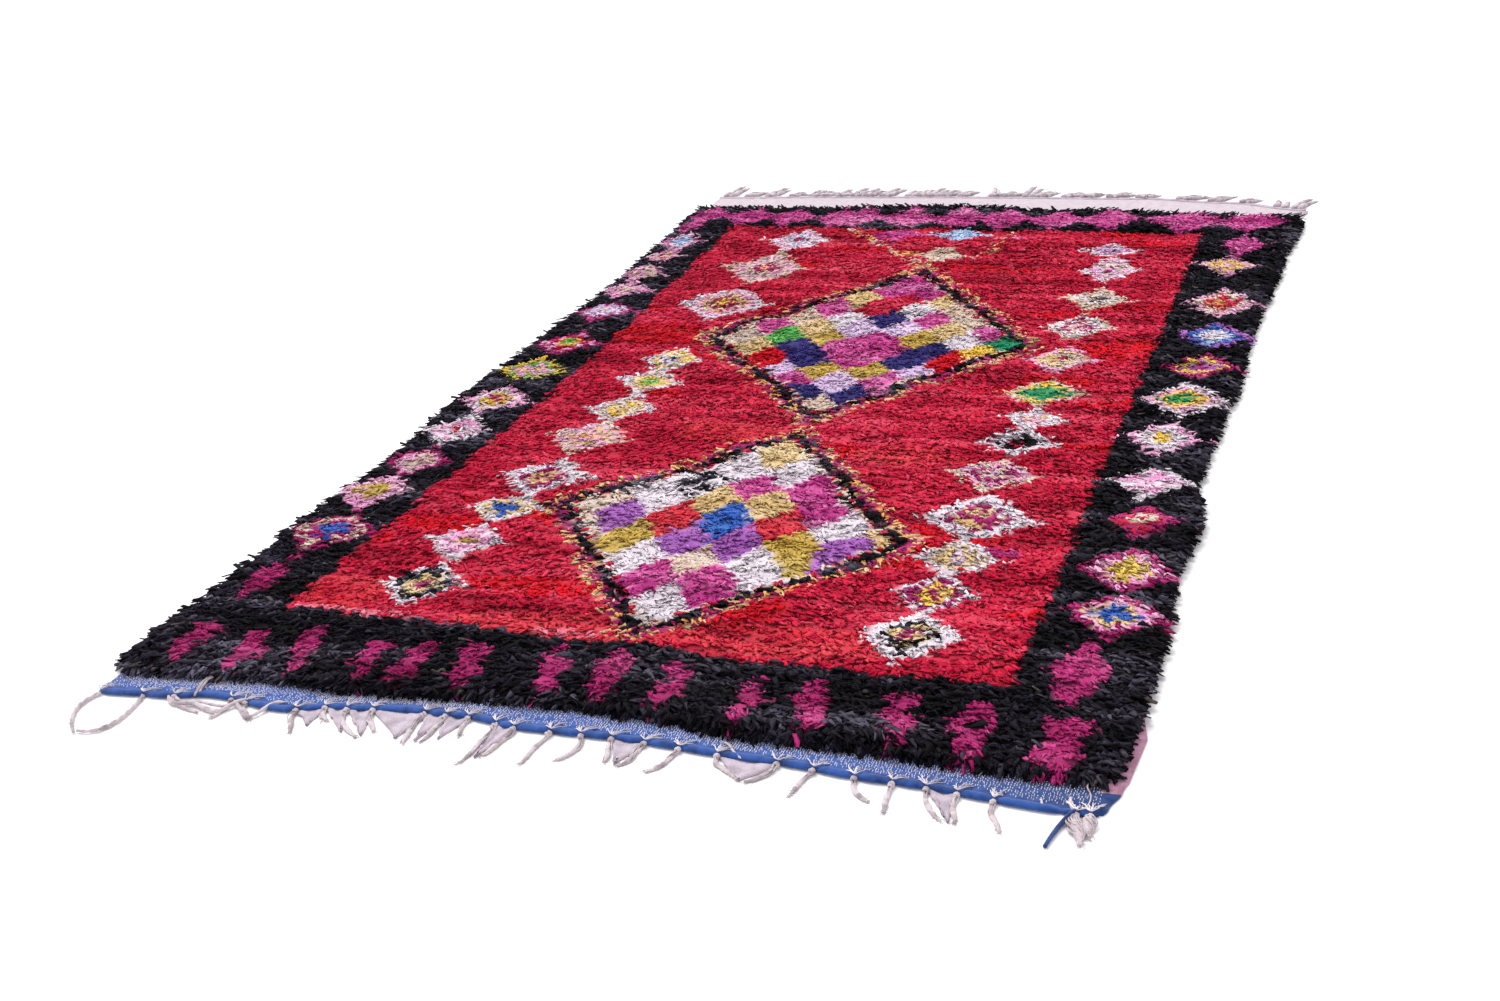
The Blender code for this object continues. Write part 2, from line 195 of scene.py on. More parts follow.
# Shades of each dyed rag, by the letters that the knotting charts use, from dark to light
SHADES = {
    "K": ("#08070B", "#0C0A10", "#131018", "#1E1B25", "#35323E", "#55515F"),
    "R": ("#A00A2B", "#B30E33", "#C4173A", "#D02344", "#DC3452", "#E44863"),
    "E": ("#C2081E", "#D40C22", "#E4162A"),
    "H": ("#CA2438", "#D83646", "#E44A56"),
    "J": ("#CC4862", "#DC6A80", "#E88E9E"),
    "M": ("#88124F", "#A01C60", "#B42F73", "#C8508C"),
    "Q": ("#A82676", "#C63E8C", "#DA64A8", "#E68CC0"),
    "P": ("#E08CC0", "#EDABD0", "#F4C6E0"),
    "W": ("#D8CBD6", "#E5DAE3", "#F2EAF0"),
    "F": ("#CDACD8", "#DABDE0", "#E8D2EE"),
    "C": ("#D4B8A4", "#E0C9B8", "#EADACF"),
    "Y": ("#D0AE72", "#DCBE86", "#E8CFA2"),
    "S": ("#E2B436", "#EFC850", "#F6D874"),
    "A": ("#E8A050", "#F1B56E", "#F7CB92"),
    "O": ("#BC9A40", "#CDAD54", "#DBBF6C"),
    "G": ("#46A04A", "#5CB45A", "#7CCB6C"),
    "T": ("#168458", "#22986A", "#38AE80"),
    "V": ("#9650A4", "#AC66BC", "#BE7CCA"),
    "N": ("#221E58", "#30296E", "#403884"),
    "B": ("#2850A4", "#3562BE", "#4A7ACE"),
    "L": ("#98B6E2", "#AEC8EC", "#C8DAF4"),
    "D": ("#3E3836", "#544C48", "#6E645E"),
}

# The letters that count as charcoal and as red, and the share of brown knots strewn in the charcoal
DARKS = ["K", "D"]
REDS = ["R", "E", "H", "J"]
STRAY_SHARE = 0.010

# How much lighter the charcoal rags are painted at the left edge, as a painted highlight where light grazes
# them, and how far in
PAINTED_LIGHT_LEFT = 0.9
PAINTED_LIGHT_REACH = 0.8

# The red field inside the dark border, and how far apart the knots lie
FIELD_LEFT = ((0.22, 0.158), (1.20, 0.167), (2.34, 0.125))
FIELD_RIGHT = ((0.20, 1.313), (1.30, 1.297), (2.34, 1.283))
FIELD_NEAR = ((0.16, 0.225), (1.31, 0.200))
FIELD_FAR = 2.337
KNOT_ROW = 0.0076
KNOT_PITCH = 0.0102

# Small lozenges: middle, width, length, and the letters of their rings from the outside in
Motif = namedtuple("Motif", "x y width length rings")
FIELD_MOTIFS = [Motif(*row) for row in (
    (0.328, 2.225, 0.150, 0.185, "WPWLR"), (0.325, 2.000, 0.190, 0.235, "CPCMA"),
    (0.325, 1.733, 0.185, 0.215, "WPYMS"), (0.342, 1.375, 0.120, 0.150, "WSWN"),
    (0.347, 1.250, 0.130, 0.145, "WCSG"), (0.350, 1.108, 0.145, 0.150, "WCSC"),
    (0.347, 0.958, 0.150, 0.165, "CPYPA"), (0.350, 0.767, 0.165, 0.160, "WWMYM"),
    (0.337, 0.637, 0.135, 0.115, "WYBB"), (0.333, 0.500, 0.130, 0.135, "WPPO"),
    (0.337, 0.342, 0.140, 0.145, "WKYM"), (1.100, 2.175, 0.120, 0.100, "WPFD"),
    (1.120, 2.033, 0.125, 0.180, "WPCFM"), (1.130, 1.825, 0.145, 0.145, "CCWCD"),
    (1.125, 1.650, 0.145, 0.170, "CWMCM"), (1.130, 1.458, 0.140, 0.135, "PYCYM"),
    (1.133, 1.275, 0.165, 0.155, "CSTTG"), (1.142, 1.142, 0.115, 0.100, "WWPS"),
    (1.138, 1.042, 0.130, 0.120, "WWKR"), (1.130, 0.892, 0.150, 0.135, "CPMCF"),
    (1.142, 0.717, 0.180, 0.170, "WWMYM"), (1.147, 0.567, 0.135, 0.130, "WCYF"),
    (1.142, 0.450, 0.125, 0.120, "WMSM"), (1.143, 0.313, 0.150, 0.155, "WWKYM"),
)]
FAR_PATCHES = [Motif(*row) for row in (
    (0.722, 2.285, 0.135, 0.110, "L"), (0.572, 2.268, 0.135, 0.105, "Q"),
    (0.718, 2.128, 0.118, 0.120, "C"), (0.632, 2.140, 0.040, 0.036, "A"),
    (0.868, 2.262, 0.060, 0.040, "Q"), (0.998, 1.540, 0.078, 0.062, "T"),
)]
BORDER_MOTIFS = [Motif(*row) for row in (
    (0.008, 2.345, 0.080, 0.160, "Q"), (0.037, 2.192, 0.115, 0.130, "PWL"),
    (0.037, 2.083, 0.110, 0.115, "PCR"), (0.037, 1.942, 0.115, 0.135, "PCP"),
    (0.047, 1.817, 0.120, 0.135, "PPC"), (0.063, 1.658, 0.145, 0.150, "MFFC"),
    (0.072, 1.450, 0.150, 0.165, "MPRSG"), (0.067, 1.283, 0.150, 0.150, "SGPYP"),
    (0.075, 1.108, 0.145, 0.150, "PWSM"), (0.067, 0.958, 0.135, 0.140, "WPWR"),
    (0.067, 0.808, 0.130, 0.130, "MPCP"), (0.058, 0.667, 0.135, 0.145, "PPOO"),
    (0.075, 0.500, 0.160, 0.175, "MCMBB"), (0.063, 0.317, 0.065, 0.175, "MM"),
    (1.375, 2.400, 0.130, 0.120, "Q"), (1.383, 2.240, 0.110, 0.150, "Q"),
    (1.370, 2.083, 0.130, 0.170, "PYAF"), (1.387, 1.825, 0.145, 0.170, "PCRO"),
    (1.397, 1.625, 0.140, 0.150, "VBLWW"), (1.397, 1.442, 0.135, 0.140, "MSVM"),
    (1.383, 1.275, 0.170, 0.170, "WPSTG"), (1.380, 1.092, 0.130, 0.150, "PWWS"),
    (1.387, 0.900, 0.140, 0.150, "WPWP"), (1.400, 0.742, 0.115, 0.115, "MRC"),
    (1.408, 0.570, 0.145, 0.130, "MPOS"), (1.413, 0.428, 0.155, 0.145, "MPYBB"),
    (1.392, 0.258, 0.080, 0.180, "MM"),
)]

# How wide a small lozenge's spurs are, how long its wings are, and how round its outline is
SPUR_WIDTH = 0.014
WING_LENGTH = 0.011
ROUNDNESS = 1.1

# The near border's dashes and the far border's blobs: middle and width, then their rows and lengths
NEAR_DASHES = (
    (0.078, 0.048), (0.170, 0.042), (0.267, 0.046), (0.383, 0.046), (0.450, 0.050), (0.540, 0.048),
    (0.668, 0.042), (0.758, 0.052), (0.850, 0.042), (0.972, 0.042), (1.065, 0.050), (1.186, 0.052),
    (1.288, 0.058), (1.406, 0.064),
)
NEAR_DASH_INSET = ((0.00, 0.0905), (1.20, 0.0905), (1.41, 0.0740))
NEAR_DASH_LENGTH = 0.129
FAR_BLOBS = (
    (0.020, 0.090), (0.130, 0.110), (0.245, 0.110), (0.375, 0.100), (0.430, 0.110), (0.555, 0.120),
    (0.683, 0.125), (0.800, 0.115), (0.918, 0.125), (1.055, 0.130), (1.225, 0.165), (1.385, 0.130),
)
FAR_BLOB_GROWTH = 1.22
FAR_BLOB_ROW = 2.425
FAR_BLOB_LENGTH = 0.162

# A big lozenge's lines: their depths inside its outline, the share of knots that take them, their letter
Line = namedtuple("Line", "outer inner share letter")
FULL_LINES = (
    Line(0.008, 0.020, 0.35, "C"),
    Line(-0.0065, 0.0085, 1.0, "K"),
    Line(-0.023, -0.0065, 1.0, "A"),
    Line(-0.023, -0.0065, 0.68, "M"),
    Line(-0.034, -0.023, 1.0, "R"),
    Line(-0.034, -0.023, 0.45, "Y"),
)
DASHED_LINES = (Line(-0.011, 0.011, 0.55, "C"), Line(-0.011, 0.011, 0.20, "A"))

# The big lozenges: their corners, their lines, and their patchwork, knotted from a staggered chart
Lozenge = namedtuple("Lozenge", "far right near left lines chart_top chart_row chart")
LOZENGES = (
    Lozenge(
        far=(0.708, 1.992), right=(1.042, 1.525), near=(0.733, 1.108), left=(0.367, 1.533),
        lines=FULL_LINES, chart_top=(0.722, 1.915), chart_row=0.0625,
        chart=(
            "Q", "QQ", "YRY", "QRWC", "CWNQC", "QYFFYQ", "CGOQOWT", "YNQQNS", "ENQNE", "FOOF", "QFQ", "NN",
            "C",
        ),
    ),
    Lozenge(
        far=(0.737, 1.017), right=(1.053, 0.600), near=(0.750, 0.250), left=(0.433, 0.667),
        lines=FULL_LINES, chart_top=(0.740, 0.925), chart_row=0.0715,
        chart=("Y", "WW", "WZQQZ", "CWYYQW", "CVHBHWY", "COVVOV", "WCW", "QQ", "W"),
    ),
    Lozenge(
        far=(0.860, 2.560), right=(0.826, 2.175), near=(0.690, 2.040), left=(0.430, 2.335),
        lines=DASHED_LINES, chart_top=(0.722, 2.298), chart_row=0.0580,
        chart=("R",),
    ),
)
CHART_COLUMN = 0.0475
CHART_INSET = 0.014
PATCH_ROUNDNESS = 1.4

# Where the field's reds change: middle, half width, half length and letter
FieldPatch = namedtuple("FieldPatch", "x y half_width half_length letter")
FIELD_PATCHES = [FieldPatch(*row) for row in (
    (0.250, 1.535, 0.130, 0.060, "E"), (1.235, 1.530, 0.075, 0.075, "E"), (0.470, 1.415, 0.060, 0.035, "E"),
    (0.520, 0.370, 0.110, 0.040, "E"), (0.250, 0.560, 0.090, 0.035, "E"), (1.050, 0.560, 0.060, 0.040, "E"),
    (0.640, 0.250, 0.200, 0.040, "H"), (0.950, 0.270, 0.220, 0.050, "H"), (0.230, 0.300, 0.070, 0.060, "H"),
    (0.620, 1.010, 0.120, 0.050, "H"), (0.950, 0.950, 0.120, 0.040, "H"), (0.290, 0.236, 0.110, 0.010, "J"),
    (0.640, 0.232, 0.070, 0.008, "J"), (1.210, 0.600, 0.040, 0.015, "M"),
)]

# How far from its knot a lock is seen, the most locks in a piece, the share of knots that carry a second
# lock, by the dye's kind and at the near end, and the share and the growth of the larger charcoal rags
SEEN_REACH = 0.009
MOST_LOCKS = 19500
SECOND_LOCKS = {"dark": 0.22, "red": 0.42, "bright": 0.42}
NEAR_SECOND = 0.75
NEAR_SECOND_END = 0.24
BIG_RAG_SHARE = 0.03
BIG_RAG_GROWTH = 1.55

# A lock by its kind: length and width, thickness, how blunt its tip is, what share of locks stand, how
# uneven its crest is, how far its tip drops at most, and how far it turns on its own line
LockSize = namedtuple("LockSize", "length width thickness blunt stand unevenness drop turned")
LOCK_SIZES = {
    "dark": LockSize((0.018, 0.031), (0.0064, 0.0116), 0.0018, (0.05, 0.60), 0.15, 0.0015, 0.0050, 1.0),
    "red": LockSize((0.013, 0.022), (0.0062, 0.0105), 0.0012, (0.30, 0.90), 0.03, 0.0006, 0.0028, 0.7),
    "bright": LockSize((0.013, 0.021), (0.0050, 0.0082), 0.0014, (0.20, 0.75), 0.10, 0.0006, 0.0030, 0.6),
}

# A lock's faces: three round its root, three between its stations, and its tip
LOCK_POINTS = 7
LOCK_TRIANGLES = np.array([(0, 1, 2), (0, 2, 3), (0, 3, 1), (4, 6, 5)])
LOCK_QUADS = np.array([(1, 4, 5, 2), (2, 5, 6, 3), (3, 6, 4, 1)])
# Each lock point's brightness: painted shade at the root, a painted highlight at the tip station
LOCK_PAINTED_LIGHT = np.array([0.88, 1.0, 1.0, 1.0, 1.04, 1.04, 1.04])
CELL_MARGIN = 0.06


def smooth_between(table, place):
    """An edge's place, on a smooth line through the table's rows. Takes one place or an array."""
    starts = np.array([row[0] for row in table])
    values = np.array([row[1] for row in table])
    place = np.clip(place, starts[0], starts[-1])
    row = np.clip(np.searchsorted(starts, place, side="left") - 1, 0, len(table) - 2)
    share = (place - starts[row]) / (starts[row + 1] - starts[row])
    return values[row] + (values[row + 1] - values[row]) * (1 - np.cos(np.pi * share)) / 2


def find_shift():
    """The step from loom coordinates to the frame's, from the ground cloth's lowest corner."""
    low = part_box("ground_cloth")[0]
    roots = [strand.root for strand in NEAR_STRANDS]
    half = STRAND_ROOT_WIDTH / 2
    stations = np.array([*NEAR_STRIP_ENDS, *(r - half for r in roots), *(r + half for r in roots)])
    lowest_y = float(np.min(smooth_between(BAND_NEAR, stations))) + STRIP_SETBACK
    return Vector((low[0] - FAR_STRIP_ENDS[0], low[1] - lowest_y, 0.0))


SHIFT = find_shift()


def linear(code):
    """A colour written as red, green and blue pairs, as linear numbers."""
    parts = [int(code[place : place + 2], 16) / 255 for place in (1, 3, 5)]
    return tuple(part / 12.92 if part <= 0.04045 else ((part + 0.055) / 1.055) ** 2.4 for part in parts)


def lumps(x, y, per_x, per_y, depth=0.0):
    """Smooth noise from about -1 to 1 at each place of two arrays."""
    return np.array([noise.noise((a * per_x, b * per_y, depth)) for a, b in zip(x, y)])


# Meshes


def new_piece(name, points, face_groups, material, slot, colours=None, cells=None):
    """Make a mesh piece from arrays: points, and groups of faces with the same number of corners.

    Points are in loom coordinates. colours gives each point a dye, which for the locks and their roots holds
    painted shade and painted highlight too. cells gives each face corner its place in a texture. material is
    one material or a list.
    """
    mesh = bpy.data.meshes.new(name)
    corners = np.concatenate([group.ravel() for group in face_groups])
    totals = np.concatenate([np.full(len(group), group.shape[1]) for group in face_groups])
    starts = np.concatenate([[0], np.cumsum(totals)[:-1]])
    mesh.vertices.add(len(points))
    mesh.vertices.foreach_set("co", (points + np.array(SHIFT)).astype(np.float32).ravel())
    mesh.loops.add(len(corners))
    mesh.loops.foreach_set("vertex_index", corners.astype(np.int32))
    mesh.polygons.add(len(totals))
    mesh.polygons.foreach_set("loop_start", starts.astype(np.int32))
    mesh.polygons.foreach_set("loop_total", totals.astype(np.int32))
    mesh.polygons.foreach_set("use_smooth", np.full(len(totals), True))
    mesh.update(calc_edges=True)
    if colours is not None:
        # The dye attribute holds each point's colour, painted shade and highlight included
        dye = mesh.color_attributes.new(name="dye", type="FLOAT_COLOR", domain="POINT")
        opaque = np.column_stack([colours, np.ones(len(colours))])
        dye.data.foreach_set("color", opaque.astype(np.float32).ravel())
    if cells is not None:
        mesh.uv_layers.new(name="OFBake").data.foreach_set("uv", cells.astype(np.float32).ravel())
    for item in material if isinstance(material, list) else [material]:
        mesh.materials.append(item)
    piece = bpy.data.objects.new(name, mesh)
    bpy.context.scene.collection.objects.link(piece)
    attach(piece, "root")
    return piece


def unit(vectors):
    """Vectors of an array, made one long."""
    return vectors / np.maximum(np.linalg.norm(vectors, axis=-1, keepdims=True), 1e-9)


def tubes(paths, wide, high, sides):
    """Closed tubes along many paths with the same number of stations: points and face groups.

    wide and high are the half width and half height at each station of each path.
    """
    count, stations = paths.shape[:2]
    heading = unit(np.gradient(paths, axis=1))
    up = np.array([0.0, 0.0, 1.0])
    side = unit(np.cross(heading, up))
    normal = np.cross(side, heading)
    turn = np.arange(sides) * 2 * np.pi / sides
    ring = (
        side[:, :, None, :] * (np.cos(turn)[None, None, :, None] * wide[:, :, None, None])
        + normal[:, :, None, :] * (np.sin(turn)[None, None, :, None] * high[:, :, None, None])
    )
    points = (paths[:, :, None, :] + ring).reshape(-1, 3)
    station, corner = np.meshgrid(np.arange(stations - 1), np.arange(sides), indexing="ij")
    following = (corner + 1) % sides
    quads = np.stack(
        [
            station * sides + corner,
            station * sides + following,
            (station + 1) * sides + following,
            (station + 1) * sides + corner,
        ],
        axis=-1,
    ).reshape(-1, 4)
    first_cap = np.arange(sides)[::-1][None, :]
    last_cap = (np.arange(sides) + (stations - 1) * sides)[None, :]
    steps = (np.arange(count) * stations * sides)[:, None, None]
    groups = [(group[None] + steps).reshape(-1, group.shape[1]) for group in (quads, first_cap, last_cap)]
    return points, groups


def join(parts):
    """Put several sets of points and face groups together as one."""
    points = np.concatenate([part[0] for part in parts])
    offsets = np.cumsum([0] + [len(part[0]) for part in parts[:-1]])
    by_corners = {}
    for (_, groups), offset in zip(parts, offsets):
        for group in groups:
            by_corners.setdefault(group.shape[1], []).append(group + offset)
    return points, [np.concatenate(groups) for groups in by_corners.values()]


def add_joined(name, parts, material, slot="warp_fringe"):
    """One piece of several sets of points and face groups."""
    return new_piece(name, *join(parts), material, slot)


def grid_sheet(xs, ys, top, bottom):
    """A closed sheet over a grid of points: arrays of x, y and of both heights, row by row."""
    count = xs.size
    layers = [np.stack([xs, ys, height], axis=-1).reshape(-1, 3) for height in (top, bottom)]
    index = np.arange(count).reshape(xs.shape)
    corners = [index[:-1, :-1], index[:-1, 1:], index[1:, 1:], index[1:, :-1]]
    upper = np.stack(corners, axis=-1).reshape(-1, 4)
    lower = upper[:, ::-1] + count
    ring = np.concatenate([index[0, :], index[1:, -1], index[-1, -2::-1], index[-2:0:-1, 0]])
    after = np.roll(ring, -1)
    rim = np.stack([ring, ring + count, after + count, after], axis=-1)
    return np.concatenate(layers), [np.concatenate([upper, lower, rim])]


# Materials


class Nodes:
    """Short ways to add and link a material's nodes."""

    def __init__(self, name):
        self.material = bpy.data.materials.new(name)
        self.material.use_nodes = True
        self.tree = self.material.node_tree
        self.shader = self.tree.nodes["Principled BSDF"]

    def add(self, kind, **settings):
        """A new node with some of its settings and unlinked inputs."""
        node = self.tree.nodes.new(kind)
        for key, value in settings.items():
            if hasattr(node, key):
                setattr(node, key, value)
            else:
                node.inputs[key.replace("_", " ").title()].default_value = value
        return node

    def link(self, source, target):
        """Link an output to an input."""
        self.tree.links.new(source, target)

    def noise(self, scale, detail=3.0, stretch=(1.0, 1.0, 1.0), kind="FBM"):
        """Noise in the object's own metres, as its value."""
        place = self.add("ShaderNodeTexCoord")
        stretched = self.add("ShaderNodeMapping")
        stretched.inputs["Scale"].default_value = stretch
        texture = self.add("ShaderNodeTexNoise", noise_type=kind, scale=scale, detail=detail)
        self.link(place.outputs["Object"], stretched.inputs["Vector"])
        self.link(stretched.outputs["Vector"], texture.inputs["Vector"])
        return texture.outputs["Fac"]

    def wave(self, scale, direction, distortion):
        """Ribs in the object's own metres, as their value."""
        place = self.add("ShaderNodeTexCoord")
        texture = self.add("ShaderNodeTexWave", wave_type="BANDS", bands_direction=direction)
        texture.inputs["Scale"].default_value = scale
        texture.inputs["Distortion"].default_value = distortion
        texture.inputs["Detail Scale"].default_value = 4.0
        self.link(place.outputs["Object"], texture.inputs["Vector"])
        return texture.outputs["Fac"]

    def span(self, value, low, high, start=0.0, end=1.0):
        """A value brought from one span to another."""
        node = self.add("ShaderNodeMapRange")
        for key, number in zip(("From Min", "From Max", "To Min", "To Max"), (start, end, low, high)):
            node.inputs[key].default_value = number
        self.link(value, node.inputs["Value"])
        return node.outputs["Result"]

    def mix(self, kind, first, second, factor=1.0):
        """Two colours mixed: each is an output or a colour, and factor is an output or a number."""
        node = self.add("ShaderNodeMix", data_type="RGBA", blend_type=kind)
        for socket, value in ((node.inputs[0], factor), (node.inputs[6], first), (node.inputs[7], second)):
            if isinstance(value, bpy.types.NodeSocket):
                self.link(value, socket)
            else:
                socket.default_value = value
        return node.outputs[2]

    def between(self, dark, light, share):
        """A colour between two that are written as red, green and blue pairs."""
        return self.mix("MIX", (*linear(dark), 1.0), (*linear(light), 1.0), share)

    def dim(self, colour, value):
        """A colour made darker or lighter by a grey value."""
        shade = self.add("ShaderNodeCombineColor")
        for channel in range(3):
            self.link(value, shade.inputs[channel])
        return self.mix("MULTIPLY", colour, shade.outputs["Color"])

    def bump(self, height, strength, distance):
        """Give the shader a relief."""
        node = self.add("ShaderNodeBump", strength=strength, distance=distance)
        self.link(height, node.inputs["Height"])
        self.link(node.outputs["Normal"], self.shader.inputs["Normal"])

    def cloth_finish(self, roughness, sheen):
        """A matt finish, set on the shader itself."""
        self.shader.inputs["Roughness"].default_value = roughness
        self.shader.inputs["Sheen Weight"].default_value = sheen
        self.shader.inputs["Sheen Roughness"].default_value = 0.5
        self.shader.inputs["Specular IOR Level"].default_value = 0.06


def rag_material(name, sheen, fibre_scale, contrast, relief_depth=0.0030):
    """Dyed rag: the dye of each lock, painted shade and highlight included, dimmed and brightened in
    streaks, with the relief of its knit and its creases.
    """
    nodes = Nodes(name)
    # The dye attribute carries the painted shade and highlight of the locks and roots
    dye = nodes.add("ShaderNodeVertexColor", layer_name="dye")
    tone_factor = nodes.span(nodes.noise(fibre_scale, 5.0), 1 - contrast, 1 + contrast, 0.25, 0.75)
    nodes.link(nodes.dim(dye.outputs["Color"], tone_factor), nodes.shader.inputs["Base Color"])
    creases = nodes.noise(fibre_scale, 3.0, kind="RIDGED_MULTIFRACTAL")
    fibres = nodes.noise(fibre_scale * 5.0, 3.0)
    nodes.bump(nodes.mix("ADD", creases, fibres, 0.25), 1.0, relief_depth)
    nodes.cloth_finish(0.95, sheen)
    return nodes.material


def woven_material(name, dark, light, rib_scale, shade_right=1.0):
    """Flat weave: ribs of weft crossed by finer warp, in mottled dye, with painted shade in the grooves
    between the ribs and painted shade that may darken it to the right.
    """
    nodes = Nodes(name)
    ribs = nodes.wave(rib_scale, "Y", 0.8)
    cross = nodes.wave(rib_scale * 0.6, "X", 1.2)
    mottle = nodes.noise(60.0, 4.0, (1.0, 2.5, 1.0))
    colour = nodes.between(dark, light, nodes.span(mottle, 0.0, 1.0, 0.3, 0.7))
    # Painted shade: darker in the grooves between the ribs
    colour = nodes.dim(colour, nodes.span(ribs, 0.86, 1.04))
    # Painted shade: darker to the right
    if shade_right < 1.0:
        place = nodes.add("ShaderNodeTexCoord")
        parts = nodes.add("ShaderNodeSeparateXYZ")
        nodes.link(place.outputs["Object"], parts.inputs["Vector"])
        colour = nodes.dim(colour, nodes.span(parts.outputs["X"], 1.0, shade_right, 0.40, 0.72))
    nodes.link(colour, nodes.shader.inputs["Base Color"])
    nodes.bump(nodes.mix("ADD", ribs, cross, 0.5), 0.6, 0.0007)
    nodes.cloth_finish(0.88, 0.25)
    return nodes.material


def yarn_material(name, dark, light, fibre_scale=420.0):
    """Matted yarn: fine fibres, soiled here and there, with painted shade in the hollows of the fibres'
    relief.
    """
    nodes = Nodes(name)
    colour = nodes.between(dark, light, nodes.span(nodes.noise(45.0, 4.0), 0.0, 1.0, 0.36, 0.56))
    fibres = nodes.noise(fibre_scale, 4.0)
    # Painted shade: darker where the fibres' relief is low
    colour = nodes.dim(colour, nodes.span(fibres, 0.80, 1.08, 0.3, 0.7))
    nodes.link(colour, nodes.shader.inputs["Base Color"])
    nodes.bump(nodes.mix("ADD", fibres, nodes.noise(700.0, 3.0), 0.5), 0.6, 0.0008)
    nodes.cloth_finish(0.92, 0.3)
    return nodes.material


# The knotting chart


def pile_edges(x, y):
    """Distances of places inside the slab's left, right, near and far edges."""
    left = x - (smooth_between(PILE_LEFT, y) + LOCK_REACH)
    right = smooth_between(PILE_RIGHT, y) - LOCK_REACH - x
    near = y - (smooth_between(PILE_NEAR, x) + LOCK_REACH)
    far = smooth_between(PILE_FAR, x) - LOCK_REACH - y
    return left, right, near, far


def inside_lozenge(lozenge, x, y):
    """How far places lie inside a big lozenge's outline. Negative is outside."""
    corners = (lozenge.far, lozenge.right, lozenge.near, lozenge.left)
    depth = np.full(len(x), 9.0)
    for (ax, ay), (bx, by) in zip(corners, corners[1:] + corners[:1]):
        length = math.hypot(bx - ax, by - ay)
        depth = np.minimum(depth, ((by - ay) * (x - ax) - (bx - ax) * (y - ay)) / length)
    return depth


def paint_patchwork(letters, lozenge, x, y, where):
    """Give each place in a lozenge the letter of its nearest patch in the staggered chart."""
    best = np.full(len(x), 9.0)
    nearest = np.array(["R"] * len(x))
    for row, line in enumerate(lozenge.chart):
        patch_y = lozenge.chart_top[1] - row * lozenge.chart_row
        for place, letter in enumerate(line):
            patch_x = lozenge.chart_top[0] + (2 * place - len(line) + 1) * CHART_COLUMN
            across = np.abs(x - patch_x) / CHART_COLUMN
            along = np.abs(y - patch_y) / lozenge.chart_row
            apart = (across**PATCH_ROUNDNESS + along**PATCH_ROUNDNESS) ** (1 / PATCH_ROUNDNESS)
            closer = apart < best
            best[closer] = apart[closer]
            nearest[closer] = letter
    letters[where] = nearest[where]


def paint_lozenge(letters, lozenge, x, y, dice):
    """A big lozenge: its patchwork, then its lines, on the red field only."""
    depth = inside_lozenge(lozenge, x, y)
    chance = dice.random(len(x))
    in_field = np.isin(letters, ["R", "E", "H"])
    paint_patchwork(letters, lozenge, x, y, (depth > CHART_INSET) & in_field)
    for line in lozenge.lines:
        on_line = (depth > line.outer) & (depth <= line.inner)
        letters[on_line & (chance < line.share) & in_field] = line.letter


def paint_motif(letters, motif, x, y, dice):
    """A small lozenge of nested rings, with a spur at each end that reaches for the next one."""
    across = np.abs(x - motif.x) / (motif.width / 2)
    along = np.abs(y - motif.y) / (motif.length / 2)
    reach = (across**ROUNDNESS + along**ROUNDNESS) ** (1 / ROUNDNESS) + dice.normal(0.0, 0.045, len(x))
    inside = reach < 1.0
    step = (1 - reach) * len(motif.rings) + dice.normal(0.0, 0.34, len(x))
    ring = np.clip(step.astype(int), 0, len(motif.rings) - 1)
    letters[inside] = np.array(list(motif.rings))[ring][inside]
    spur = (np.abs(x - motif.x) < SPUR_WIDTH / 2) & (along < 1.06) & (along > 0.8)
    wing = (np.abs(y - motif.y) < WING_LENGTH / 2) & (across < 1.16) & (across > 0.8)
    letters[spur | wing] = motif.rings[0]


def paint_dash(letters, dash_x, width, x, y):
    """A magenta dash of the near border: broad at its far end, narrow at the near one, and notched."""
    row = float(smooth_between(PILE_NEAR, dash_x) + smooth_between(NEAR_DASH_INSET, dash_x))
    down = (row - y) / (NEAR_DASH_LENGTH / 2)
    phase = dash_x * 47.0
    sway = 0.008 * down + 0.006 * np.sin(down * 2.6 + phase)
    half = width / 2 * (0.95 - 0.16 * down + 0.20 * np.sin(down * 6.0 + phase * 1.7))
    half = half * np.sqrt(np.clip(1 - down**4, 0.0, 1.0))
    letters[(np.abs(x - dash_x - sway) < half) & (np.abs(down) < 1.0)] = "M"


